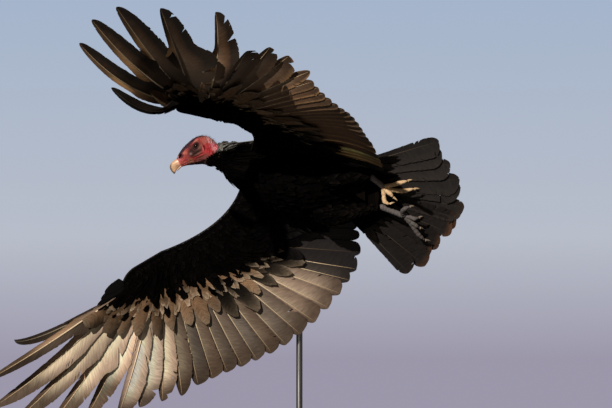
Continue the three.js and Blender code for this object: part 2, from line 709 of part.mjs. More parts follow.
function addStand(model, bird) {
  const foot = vec(STAND.postX, STAND.postY, STAND.thick + GAP);
  const top = vec(STAND.postX, STAND.postY, STAND.postTop);
  const meet = vec(ARM_MEETS.x, ARM_MEETS.y, ARM_MEETS.z).applyMatrix4(bird.matrix);
  const reach = combine([1, meet], [-1, top]).normalize();
  const start = combine([1, top], [-STAND.rod * 0.6, reach]);
  const post = rodBetween(foot, top, STAND.rod);
  const postGrown = rodBetween(foot, combine([1, top], [GAP, vec(0, 0, 1)]), STAND.rod + GAP);
  const trunk = trunkShape(GAP).applyMatrix4(bird.matrix);
  const arm = rodBetween(start, meet, STAND.arm);
  model.add(part('stand_base', standBase(), FINISH.stand));
  model.add(part('stand_post', post, FINISH.rod));
  model.add(part('stand_arm', cut(arm, postGrown, trunk), FINISH.rod));
}

const group = new THREE.Group();
const bird = new THREE.Group();
bird.position.set(BODY.x, BODY.y, BODY.z);
bird.rotation.set(rad(BODY.bank), rad(-BODY.climb), rad(180 + BODY.yaw), 'ZYX');
bird.updateMatrix();
addHead(bird);
bird.add(part('trunk', trunkShape(0), FINISH.plumage));
bird.add(part('tail_feathers', cut(tailFan(), trunkShape(GAP)), FINISH.vane));
addWing(bird, 'left');
addWing(bird, 'right');
addLeg(bird, 'left');
addLeg(bird, 'right');
group.add(bird);
addStand(group, bird);

export default group;
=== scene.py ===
"""A life-size turkey vulture banking in flight on a plain display stand.

Lengths are in millimetres and angles in degrees until a mesh is made, which is in metres.
The bird's own frame has x forward, y to its left and z to its back.
"""
import math

import bpy
import numpy as np
from bpy.props import FloatProperty, FloatVectorProperty, IntProperty, PointerProperty
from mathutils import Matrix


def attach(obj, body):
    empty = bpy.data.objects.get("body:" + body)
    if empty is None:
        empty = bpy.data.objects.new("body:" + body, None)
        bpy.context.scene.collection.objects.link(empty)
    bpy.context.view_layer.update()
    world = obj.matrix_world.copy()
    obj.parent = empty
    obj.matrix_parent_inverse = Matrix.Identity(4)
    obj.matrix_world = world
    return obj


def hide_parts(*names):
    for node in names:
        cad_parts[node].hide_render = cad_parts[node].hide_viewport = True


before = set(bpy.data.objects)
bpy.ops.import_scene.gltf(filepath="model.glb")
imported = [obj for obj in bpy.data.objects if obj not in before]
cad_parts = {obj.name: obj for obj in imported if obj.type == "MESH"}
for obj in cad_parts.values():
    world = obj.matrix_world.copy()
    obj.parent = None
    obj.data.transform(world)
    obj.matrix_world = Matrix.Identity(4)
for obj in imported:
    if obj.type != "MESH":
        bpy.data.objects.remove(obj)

bl_info = {
    "name": "Turkey vulture display model",
    "version": (1, 0, 0),
    "blender": (4, 5, 0),
    "location": "3D View > Sidebar > Vulture",
    "description": "Builds the skin, feathers, head, feet and stand of a flying turkey vulture",
    "category": "Add Mesh",
}

MM = 0.001

# ---------------- dimensions shared with the solids
BODY = {"at": (-60, -100, 720), "bank": 53, "climb": 10, "yaw": 5}
# Trunk stations: place forward, half width, half depth, height of the centre.
TRUNK = np.array([
    (80, 45, 43, 22), (52, 60, 57, 16), (12, 70, 67, 8), (-40, 72, 69, 4),
    (-90, 68, 62, 5), (-135, 58, 49, 8), (-180, 43, 31, 8), (-230, 22, 12, 4),
], float)
TRUNK_POWER = 0.94
HEAD = {"at": (159, 12, 38), "pitch": 30}
# Head slices from the bill's root to the nape: crown point, jaw point, half width.
HEAD_SLICES = np.array([
    (60, 11.5, 59, -9, 7), (51, 18.5, 51, -11, 8.5), (39, 24.5, 40, -13, 12),
    (24, 29, 28, -18, 17.5), (8, 31.8, 16, -24, 21.5), (-6, 31, 7, -31, 22.5),
    (-19, 25, 0, -37, 22), (-29, 13, -6, -41, 21), (-34, -5, -12, -45, 21),
], float)
HEAD_POWER = 0.9
EYE = {"forward": 8.3, "out": 16.1, "up": 15.2, "radius": 6.4}
NOSTRIL = {"forward": 50.3, "up": 12.6, "length": 8.6, "height": 4.6}
BILL = {"root": 60.4, "front": 83, "bend": 0.63, "tip_forward": 79.5, "tip_drop": -14.6,
        "gape_drop": -5.5, "lower_end": 72}
ARM = {"out": 52, "up": 20, "upper": 145, "fore": 172, "hand": 128}
WING_POSE = {
    "left": {
        "arm": (37, 4), "hand": (29.5, 23), "bones": (15, 48, 45),
        "angles": (-76, -55, -44, -39), "curls": (-22, -30, -11, -2), "chords": (244, 270, 299, 280),
        "fan": (-38, -28, -19, -7, -3, 16, 27, 34, 40, 38),
        "fan_curl": (0, 6, 8, 6, 65, 14, 12, 26, 41, 48),
        "fan_lift": (0, 0, 1, 5, 6, -7, -10, -4, 5, 22),
        "lead_root": 60, "bow": (225, 50), "lead_wrist": 26, "lead_tip": 38,
    },
    "right": {
        "arm": (23, 7), "hand": (46, 27), "bones": (11, 68, 52),
        "angles": (-88, -91, -52, -22), "curls": (3, 3, 3, 3), "chords": (185, 265, 275, 280),
        "fan": (-19, -12, -4, 3, 12, 22, 31, 38, 48, 49.5),
        "fan_curl": (2, 6, 12, 17, 22, 28, 36, 44, 27, 130),
        "fan_lift": (0, 0, 0, 0, 0, 1, 3, 5, 8, 8),
        "lead_root": 62, "bow": (95, 72), "lead_wrist": 40, "lead_tip": 38,
    },
}
TERTIALS = 5
SECONDARIES = 13
# Primaries: place along the hand, length, half width of the free part.
PRIMARIES = np.array([
    (.05, 288, 29), (.13, 290, 29), (.21, 300, 29), (.29, 325, 29), (.37, 342, 24),
    (.45, 415, 22), (.56, 440, 21), (.68, 440, 20), (.80, 420, 17), (.92, 340, 13),
])
FIRST_FINGER = 5
FIRST_PRIMARY = TERTIALS + SECONDARIES
KINDS = ["tertial"] * TERTIALS + ["secondary"] * SECONDARIES + ["primary"] * len(PRIMARIES)
# Partings of the inner vane: how many, and how far each clump of barbs shifts along the length.
VANE_SPLITS = {"tertial": (6, 0.007), "secondary": (8, 0.014), "primary": (10, 0.026),
               "finger": (5, 0.006)}
# Alula feathers: share of the outermost primary reached, and millimetres in front of it.
ALULA = ((0.27, 9.0), (0.225, 17.0), (0.18, 25.0))
# Share of a flight feather that lies in the wing's flesh.
COVERED = 0.3
FLESH = {"arm": 27, "wrist": 20, "tip": 9, "rear": 5.5}
TAIL = {"x": -97, "z": 25, "droop": 7, "roll": 14, "spread": 32, "edge": 4, "cup": 4,
        "feathers": 12, "root": 62, "middle": 338, "side": 292}
# Legs: thigh stops with a radius each, ankle, ball of the foot, then each toe's stops and claw tip.
LEGS = {
    "left": {
        "thigh": ((-92, 40, -22, 32), (-145, 62, -38, 26), (-184, 76, -43, 15), (-205, 79, -42, 8.5)),
        "ankle": (-205, 79, -42), "ball": (-243, 39, -18),
        "toes": (
            ((-251, 37, -29), (-259, 38, -37), (-265, 34, -41), (-277, 29, -46)),
            ((-247, 24, -28), (-251, 15, -37), (-261, 14, -43), (-272, 25, -48)),
            ((-262, 40, -24), (-285, 45, -28), (-308, 53, -24), (-322, 52, -19)),
            ((-259, 51, -22), (-274, 63, -26), (-289, 72, -26), (-301, 75, -22)),
        ),
    },
    "right": {
        "thigh": ((-92, -40, -22, 32), (-150, -42, -38, 26), (-212, -18, -34, 14), (-242, -5, -30, 8.5)),
        "ankle": (-242, -5, -30), "ball": (-302, -15, -38),
        "toes": (
            ((-293, 2, -45), (-297, 13, -48), (-305, 19, -46), (-317, 20, -42)),
            ((-314, -11, -43), (-323, -10, -47), (-331, -7, -45), (-341, -5, -40)),
            ((-318, -27, -44), (-340, -48, -50), (-356, -60, -50), (-371, -64, -45)),
            ((-316, -21, -44), (-328, -26, -48), (-338, -32, -47), (-349, -37, -42)),
        ),
    },
}
CLAW_RADIUS = 2.8
SIDES = ("left", "right")

# The skin's colour under the feathers, the grey painted on top of the neck's feathers as a sheen of the sky,
# and how deep feathers lie.
UNDER_COAT = np.array((0.006, 0.005, 0.005))
NECK_TOP_SHEEN = np.array((0.13, 0.13, 0.125))
COAT = {"trunk": 8.0, "neck": 5.0, "wing": 3.2, "thigh": 5.0}
# Starts of the random numbers of each feather or group.
SEEDS = {"remex": 9000, "alula": 9400, "rectrix": 9500, "bristles": 77, "coverts": 20}
# Share of a wing's flesh, from its front edge, at which the bones lie.
BONE_AT = 0.45
# Edges sharper than these angles stay sharp, on skin and claws, on vanes, and on the smallest things.
SKIN_SHARP, VANE_SHARP, FINE_SHARP = 70, 45, 80
# Stage: the floor's colour, the pale band low in the sky, the way to the sun, and the camera in metres.
FLOOR_GREY = (0.085, 0.090, 0.10)
MIST = (0.52, 0.53, 0.58)
TOWARD_SUN = (-0.36, -0.84, 0.41)
CAMERA_AT = (0.0148, -15.06, 0.6606)


# ---------------- numbers
def unit(v):
    """Vectors scaled to length one."""
    return v / np.maximum(np.linalg.norm(v, axis=-1, keepdims=True), 1e-9)


def mix(a, b, s):
    """The value a share s of the way from a to b."""
    return a + (b - a) * s


def ease(low, high, x):
    """0 below low, 1 above high, with the smooth cubic 3s^2 - 2s^3 between."""
    s = np.clip((x - low) / (high - low), 0, 1)
    return s * s * (3 - 2 * s)


def through(knots, x):
    """A smooth curve through knots (place, value): cubics whose slopes average the chords beside."""
    knots = np.asarray(knots, float)
    place, value = knots[:, 0], knots[:, 1:]
    chord = np.diff(value, axis=0) / np.diff(place)[:, None]
    slope = np.concatenate([chord[:1], (chord[:-1] + chord[1:]) / 2, chord[-1:]])
    x = np.asarray(x, float)
    i = np.clip(np.searchsorted(place, x) - 1, 0, len(place) - 2)
    span = (place[i + 1] - place[i])[..., None]
    s = np.clip((x - place[i])[..., None] / span, 0, 1)
    found = (1 + 2 * s) * (1 - s) ** 2 * value[i] + s * s * (3 - 2 * s) * value[i + 1]
    found = found + span * (s * (1 - s) ** 2 * slope[i] + s * s * (s - 1) * slope[i + 1])
    return found[..., 0] if value.shape[1] == 1 else found


def turning(x, y, z):
    """The matrix that turns about x, then y, then z."""
    (a, b, c) = np.radians((x, y, z))
    about_x = np.array([[1, 0, 0], [0, np.cos(a), -np.sin(a)], [0, np.sin(a), np.cos(a)]])
    about_y = np.array([[np.cos(b), 0, np.sin(b)], [0, 1, 0], [-np.sin(b), 0, np.cos(b)]])
    about_z = np.array([[np.cos(c), -np.sin(c), 0], [np.sin(c), np.cos(c), 0], [0, 0, 1]])
    return about_z @ about_y @ about_x


BIRD_TURN = turning(BODY["bank"], -BODY["climb"], 180 + BODY["yaw"])
HEAD_TURN = turning(0, HEAD["pitch"], 180)


def bird_to_world(points):
    """Points of the bird's frame in the model's frame."""
    return points @ BIRD_TURN.T + np.array(BODY["at"], float)


def head_to_world(points):
    """Points of the level head's own frame in the model's frame."""
    return points @ HEAD_TURN.T + bird_to_world(np.array(HEAD["at"], float))


def noise(points, size, seed=0):
    """A smooth random field in -1..1: hashed numbers at the corners of cubes, blended by eased weights."""
    scaled = np.asarray(points) / size
    cell = np.floor(scaled).astype(np.int64)
    part = scaled - cell
    part = part * part * (3 - 2 * part)
    total = np.zeros(scaled.shape[:-1])
    for corner in np.ndindex(*(2,) * scaled.shape[-1]):
        key = np.full(total.shape, seed * 7919 + 17, np.int64)
        weight = np.ones(total.shape)
        for axis, step in enumerate(corner):
            key = (key * 1103515245 + (cell[..., axis] + step) * 12289 + 12345) & 0x7FFFFFFF
            key = key ^ (key >> 11)
            weight = weight * (part[..., axis] if step else 1 - part[..., axis])
        total += weight * ((key * 48271 % 65537) / 32768.0 - 1)
    return total


def shades(colour, *names):
    """Colours of a property group as arrays."""
    return [np.array(getattr(colour, name)) for name in names]


def painter(tint):
    """A brush for these colours: it blends a tone into them by a share held to 0..1."""
    def paint(tone, share):
        tint[:] = mix(tint, np.asarray(tone, float), np.clip(share, 0, 1)[..., None])

    return paint


# ---------------- meshes
class Build:
    """Gathers closed shells made of four-sided faces and makes one mesh of them."""

    def __init__(self):
        self.verts, self.faces, self.tint, self.bake, self.lie = [], [], [], [], []
        self.count = 0

    def add(self, verts, faces, tint, bake=None, lie=None):
        """Adds shells whose faces are turned outwards if their signed volume is negative.

        Colours and maps are given at vertices, or at faces' corners as an extra axis of four."""
        verts = verts.reshape(-1, 3)
        faces = faces.reshape(-1, 4)
        a, b, c, d = np.moveaxis(verts[faces] - verts.mean(0), 1, 0)
        volume = (a * (np.cross(b, c) + np.cross(c, d))).sum()
        flip = -1 if volume < 0 else 1
        self.verts.append(verts)
        self.faces.append(faces[:, ::flip] + self.count)
        self.count += len(verts)
        for values, store, width in ((tint, self.tint, 3), (bake, self.bake, 2), (lie, self.lie, 2)):
            if values is None:
                values = np.zeros((len(verts), width))
            values = np.asarray(values, float)
            if values.ndim == 1:
                values = np.broadcast_to(values, (len(verts), width))
            if values.shape[:2] != faces.shape:
                values = values.reshape(-1, width)[faces]
            store.append(values[:, ::flip])

    def finish(self, name, material, sharp=60):
        """Makes the mesh object, in metres, smooth except at edges sharper than the angle."""
        verts = np.concatenate(self.verts) * MM
        faces = np.concatenate(self.faces)
        mesh = bpy.data.meshes.new(name)
        mesh.vertices.add(len(verts))
        mesh.vertices.foreach_set("co", verts.astype(np.float32).ravel())
        mesh.loops.add(faces.size)
        mesh.loops.foreach_set("vertex_index", faces.astype(np.int32).ravel())
        mesh.polygons.add(len(faces))
        mesh.polygons.foreach_set("loop_start", np.arange(0, faces.size, 4, dtype=np.int32))
        mesh.update(calc_edges=True)
        tint = np.concatenate(self.tint).reshape(-1, 3)
        tint = np.concatenate([tint, np.ones((len(tint), 1))], 1).astype(np.float32)
        mesh.color_attributes.new("tint", "FLOAT_COLOR", "CORNER").data.foreach_set("color", tint.ravel())
        for label, store in (("OFBake", self.bake), ("lie", self.lie)):
            layer = mesh.uv_layers.new(name=label, do_init=False)
            layer.uv.foreach_set("vector", np.concatenate(store).astype(np.float32).ravel())
        mesh.uv_layers.active = mesh.uv_layers["OFBake"]
        mesh.polygons.foreach_set("use_smooth", np.ones(len(faces), bool))
        mesh.set_sharp_from_angle(angle=math.radians(sharp))
        mesh.materials.append(material)
        piece = bpy.data.objects.new(name, mesh)
        bpy.context.scene.collection.objects.link(piece)
        return piece


def add_rings(build, places, tint, v, u):
    """A closed tube of rings, with the map's u for each place round it and v for each ring."""
    v, u = np.meshgrid(v, u, indexing="ij")
    build.add(places, shell_faces(*places.shape[:2]), tint, np.stack([u, v], -1))


def place(piece, slot, *replaced):
    """A piece rides on the model's one body and stands for the solids it hides; slot is not used."""
    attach(piece, "root")
    if replaced:
        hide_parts(*replaced)
    return piece


def shell_faces(rings, sides):
    """Faces of a tube of rings: quads between neighbours, and a ladder of quads over each end."""
    r, s = np.meshgrid(np.arange(rings - 1), np.arange(sides), indexing="ij")
    a = r * sides + s
    b = r * sides + (s + 1) % sides
    walls = np.stack([a, b, b + sides, a + sides], -1).reshape(-1, 4)
    i = np.arange(sides // 2 - 1)
    first = np.stack([i + 1, i, sides - 1 - i, sides - 2 - i], -1)
    last = first[:, ::-1] + (rings - 1) * sides
    return np.concatenate([walls, first, last])


def ring_circle(sides, power=1.0):
    """Cosine and sine round a circle, each raised to a power so that the ring is squarer or rounder."""
    angle = np.arange(sides) * 2 * np.pi / sides
    c, s = np.cos(angle), np.sin(angle)
    return np.sign(c) * np.abs(c) ** power, np.sign(s) * np.abs(s) ** power


def tube(stops, radii, rings, sides):
    """A round tube: a smooth curve through the stops, with a circle of smooth radius at each step."""
    stops = np.asarray(stops, float)
    reach = np.concatenate([[0], np.cumsum(np.linalg.norm(np.diff(stops, axis=0), axis=1))])
    s = np.linspace(0, reach[-1], rings)
    centre = through(np.column_stack([reach, stops]), s)
    radius = through(np.column_stack([reach, radii]), s)
    along = unit(np.gradient(centre, axis=0))
    across = unit(np.cross((0, 0, 1), along))
    up = np.cross(along, across)
    c, n = ring_circle(sides)
    out = across[:, None] * c[:, None] + up[:, None] * n[:, None]
    return centre, radius, out, s


class Surface:
    """A curved sheet on a grid of p, which runs with the lie of the feathers, and q, across them."""

    def __init__(self, p, q, places, outward, around=False):
        if around:
            q = np.append(q, q[0] + 2 * np.pi)
            places = np.concatenate([places, places[:, :1]], 1)
            outward = np.concatenate([outward, outward[:, :1]], 1)
        self.p, self.q, self.around = p, q, around
        along = np.gradient(places, p, axis=0)
        across = np.gradient(places, q, axis=1)
        if around:
            wrapped = (across[:, :1] + across[:, -1:]) / 2
            across = np.concatenate([wrapped, across[:, 1:-1], wrapped], 1)
        normal = unit(np.cross(along, across))
        if (normal * outward).sum() < 0:
            normal = -normal
        pace = [np.linalg.norm(d, axis=-1, keepdims=True) for d in (along, across)]
        self.table = np.concatenate([places, normal, *pace], -1)

    def look_up(self, p, q):
        """The table's row at p and q, by straight blends between grid points."""
        if self.around:
            q = self.q[0] + (q - self.q[0]) % (2 * np.pi)
        found = []
        for grid, value in ((self.p, p), (self.q, q)):
            step = np.interp(value, grid, np.arange(len(grid)))
            whole = np.clip(step.astype(int), 0, len(grid) - 2)
            found += [whole, (step - whole)[..., None]]
        i, s, j, t = found
        near = mix(self.table[i, j], self.table[i + 1, j], s)
        far = mix(self.table[i, j + 1], self.table[i + 1, j + 1], s)
        return mix(near, far, t)

    def chart(self, p, q):
        """Where p and q lie on the sheet's own unwrap, each from 0 to 1."""
        u = (q - self.q[0]) / (self.q[-1] - self.q[0])
        v = (p - self.p[0]) / (self.p[-1] - self.p[0])
        return np.stack([u % 1.0 if self.around else u, v], -1)

    def row(self, p, spacing, rng, q_from=None, q_to=None, offset=0.0):
        """Places q along the line of constant p, evenly spaced in millimetres with a little scatter."""
        low = self.q[0] if q_from is None else q_from
        high = self.q[-1] if q_to is None else q_to
        q = np.linspace(low, high, 200)
        pace = self.look_up(np.full_like(q, p), q)[:, 7]
        reach = np.concatenate([[0], np.cumsum((pace[1:] + pace[:-1]) / 2 * np.diff(q))])
        count = max(int(reach[-1] / spacing), 1)
        at = (np.arange(count) + 0.5 + offset + rng.normal(0, 0.08, count)) * reach[-1] / count
        return np.interp(np.clip(at, 0, reach[-1]), reach, q)


# ---------------- feathers
def leaf_shape(rows, columns):
    """A small feather's closed grid: along 0..1, across -1..1, and 1 on top or -1 below at each point."""
    a, b = np.meshgrid(np.linspace(0, 1, rows), np.linspace(-1, 1, columns), indexing="ij")
    top = np.arange(rows * columns).reshape(rows, columns)
    under = top.copy()
    inner = (rows - 2) * (columns - 2)
    under[1:-1, 1:-1] = rows * columns + np.arange(inner).reshape(rows - 2, columns - 2)

    def quads(grid):
        return np.stack([grid[:-1, :-1], grid[1:, :-1], grid[1:, 1:], grid[:-1, 1:]], -1).reshape(-1, 4)

    faces = np.concatenate([quads(top), quads(under)[:, ::-1]])
    along = np.concatenate([a.ravel(), a[1:-1, 1:-1].ravel()])
    across = np.concatenate([b.ravel(), b[1:-1, 1:-1].ravel()])
    face = np.concatenate([np.zeros(rows * columns), -np.ones(inner)])
    face[top[1:-1, 1:-1].ravel()] = 1
    return along, across, face, faces


def leaves(build, surface, p, q, length, width, lift, look, rng, lie=0.0, point=0.35, taper=0.35,
           rows=5, columns=5, sink=0.6, thick=0.5, scatter=7.0, ragged=0.05, chart=(0, 0, 1, 1)):
    """Small feathers on a surface, one at each root (p, q).

    A point of a feather is its share a of the length along the lie and b of the half width across it.
    The width swells as sin and tapers to the tip, whose sides end early by point * b^2, so that it is
    round.  The height over the skin rises as a^1.2 to lift, and falls off to the sides as b^2.
    look is (dark, pale edge, scatter of brightness), the colours shared or one for each feather."""
    along, across, face, faces = leaf_shape(rows, columns)
    n = len(p)
    size = rng.normal(1, 0.09, n)[:, None]
    length = np.broadcast_to(length, n)[:, None] * size
    width = np.broadcast_to(width, n)[:, None] * size
    lift = np.broadcast_to(lift, n)[:, None] * rng.normal(1, 0.18, n)[:, None]
    ragged = rng.normal(0, ragged, (n, len(along))) * along ** 4
    swell = (0.45 + 0.55 * np.sin(np.pi * np.clip(along * 1.25, 0, 1) ** 0.8)) * (1 - taper * along ** 3)
    x = length * (along - point * across ** 2 * along ** 2.5 + ragged)
    y = width / 2 * across * (swell + 0.25 * along)
    turn = np.radians(np.broadcast_to(lie, n) + rng.normal(0, scatter, n))[:, None]
    x, y = x * np.cos(turn) - y * np.sin(turn), x * np.sin(turn) + y * np.cos(turn)
    p, q = np.asarray(p)[:, None], np.asarray(q)[:, None]
    away = p + x / surface.look_up(p, q)[..., 6]
    aside = q + y / surface.look_up(away, q + 0 * x)[..., 7]
    spot = surface.look_up(away, aside)
    bow = (width * 0.09) * (1 - across ** 2)
    height = -sink + (lift + sink) * along ** 1.2 + bow * (0.35 + 0.65 * along) + face * thick / 2
    verts = spot[..., :3] + spot[..., 3:6] * height[..., None]
    dark, pale, vary = look
    share = np.clip(along ** 6 + 0.35 * np.abs(across) ** 6 * along, 0, 1)[None, :, None]
    tone = np.exp(rng.normal(0, vary, n))[:, None, None]
    dark, pale = (np.broadcast_to(np.asarray(shade, float), (n, 3))[:, None] for shade in (dark, pale))
    tint = mix(dark, pale, share) * tone
    u0, v0, u1, v1 = chart
    root = surface.chart(p, q) * (u1 - u0, v1 - v0) + (u0, v0)
    bake = root + 0.003 * np.stack([across / 2, along - 0.5], -1)
    barb = np.stack([(x - np.abs(y) * 0.8) + np.arange(n)[:, None] * 37.0, y], -1)
    count = len(along)
    index = faces[None] + (np.arange(n) * count)[:, None, None]
    build.add(verts, index, tint.reshape(-1, 3), bake.reshape(-1, 2), barb.reshape(-1, 2))


class Rachis:
    """A feather's centre line, sampled: place, way along, upper side and the way to its inner vane."""

    def __init__(self, places, over, inner_sign, roll):
        self.u = np.linspace(0, 1, len(places))
        along = unit(np.gradient(places, axis=0))
        over = unit(over - along * (over * along).sum(-1, keepdims=True))
        inner = np.cross(over, along) * inner_sign
        r = np.radians(np.broadcast_to(roll, len(places)))[:, None]
        tilted = inner * np.cos(r) - over * np.sin(r)
        raised = over * np.cos(r) + inner * np.sin(r)
        self.length = np.linalg.norm(np.diff(places, axis=0), axis=1).sum()
        self.samples = np.concatenate([places, along, raised, tilted], -1)

    def at(self, u):
        """Place, along, over and inner at shares u of the length."""
        step = np.clip(u, 0, 1) * (len(self.u) - 1)
        i = np.clip(step.astype(int), 0, len(self.u) - 2)
        found = mix(self.samples[i], self.samples[i + 1], (step - i)[..., None])
        return found[..., :3], found[..., 3:6], found[..., 6:9], found[..., 9:12]


def vane(build, rachis, half_width, side, strips, look, rng, island, start=0.1, lean=0.13, splits=6,
         parted=0.02, fray=0.0016, camber=0.05, thick=0.35, stations=4):
    """One vane of a feather as strips of barbs, each a thin closed blade from the shaft to the edge.

    A barb leaves the shaft at share r and ends at share r + lean (1 - r^3) further on, so that all of
    them meet at the tip.  Its width is half_width there.  Barbs part into a few clumps, which shift
    along the feather by their own amount times q^2, q being the share of the way to the edge, and fray
    scatters single barbs."""
    r = np.linspace(0, 1, strips + 1)
    lap = 0.35 / strips
    lines = np.stack([r[:-1] - lap, (r[:-1] + r[1:]) / 2, r[1:] + lap], 1)[:, None, :]
    q = np.linspace(0, 1, stations)[None, :, None]
    breaks = np.sort(rng.uniform(0.08, 0.97, splits))
    clump = np.searchsorted(breaks, (r[:-1] + r[1:]) / 2)
    shift = rng.normal(0, parted, splits + 1)[clump] + rng.normal(0, fray, strips)
    shift = shift[:, None, None] * q ** 2
    lines = np.clip(lines, 0, 1)
    ends = lines + lean * (1 - lines ** 3) + shift
    share = mix(lines, np.minimum(ends, 1), q ** 1.2)
    u = start + (1 - start) * share
    edge = start + (1 - start) * np.clip(ends, 0, 1)
    jag = (1 + rng.normal(0, 0.018, strips))[:, None, None]
    reach = q * half_width(edge) * jag
    spot, _, over, inner = rachis.at(u)
    sunk = camber * reach * (0.3 + q)
    verts = spot + inner * (side * reach)[..., None] - over * sunk[..., None]
    body = thick * (1 - 0.6 * q[..., 0]) / 2
    top = verts[:, :, 1] + over[:, :, 1] * body[..., None]
    low = verts[:, :, 1] - over[:, :, 1] * body[..., None]
    verts = np.stack([verts[:, :, 0], top, verts[:, :, 2], low], 2)
    j = np.arange(stations - 1)[:, None] * 4
    walls = [j + np.array(k) for k in ((0, 1, 5, 4), (1, 2, 6, 5), (2, 3, 7, 6), (3, 0, 4, 7))]
    last = (stations - 1) * 4
    faces = np.concatenate([*walls, [[3, 2, 1, 0]], np.array([[0, 1, 2, 3]]) + last])
    upper = np.concatenate([np.ones(2 * (stations - 1)), np.zeros(2 * (stations - 1)), [0.5, 0.5]])

    def doubled(rows):
        return np.stack([rows[:, :, 0], rows[:, :, 1], rows[:, :, 2], rows[:, :, 1]], 2)

    u4 = doubled(u)
    q4 = np.broadcast_to(q, u4.shape)
    tint_top, tint_low = look(u4, q4, side)
    index = faces[None] + (np.arange(strips) * stations * 4)[:, None, None]
    up = np.broadcast_to(upper[None, :, None] > 0.5, index.shape)
    tint = np.where(up[..., None], tint_top.reshape(-1, 3)[index], tint_low.reshape(-1, 3)[index])
    column, of = island
    across = (column + 0.5 + side * (0.08 + 0.38 * q4)) / of
    flat = np.stack([across, 0.01 + 0.48 * u4], -1).reshape(-1, 2)[index]
    flat = flat + np.stack([0 * up, np.where(up, 0.5, 0.0)], -1)
    phase, reach = doubled(lines - 0 * q), doubled(reach)
    barb = np.stack([phase * rachis.length + 41.0 * column, side * reach], -1)
    build.add(verts, index.reshape(-1, 4), tint.reshape(-1, 4, 3), flat.reshape(-1, 4, 2),
              barb.reshape(-1, 2)[index.reshape(-1, 4)])


def quill(build, rachis, radius, colours, back, island, start=0.04, end=0.985, rings=22, sides=6):
    """A feather's shaft: a tube that tapers as (1 - s)^0.7, pale underneath and dark on its back."""
    s = np.linspace(0, 1, rings)
    u = mix(start, end, s)
    spot, _, over, inner = rachis.at(u)
    r = radius * ((1 - s) ** 0.7 * 0.88 + 0.12)
    c, n = ring_circle(sides)
    out = inner[:, None] * c[:, None] + over[:, None] * n[:, None]
    verts = spot[:, None] - over[:, None] * (0.25 * r)[:, None, None] + out * r[:, None, None]
    tint = mix(np.asarray(colours[0]), np.asarray(colours[1]), (s ** 1.5)[:, None])
    tint = np.where((n > 0.5)[None, :, None], np.asarray(back), tint[:, None]).reshape(-1, 3)
    column, of = island
    across = (column + 0.5 + 0.05 * c[None, :] + 0 * s[:, None]) / of
    bake = np.stack([across, np.broadcast_to((0.51 + 0.48 * u)[:, None], across.shape)], -1)
    lie = np.stack([np.broadcast_to((u * rachis.length)[:, None], across.shape), 0 * across], -1)
    build.add(verts, shell_faces(rings, sides), tint, bake.reshape(-1, 2), lie.reshape(-1, 2))


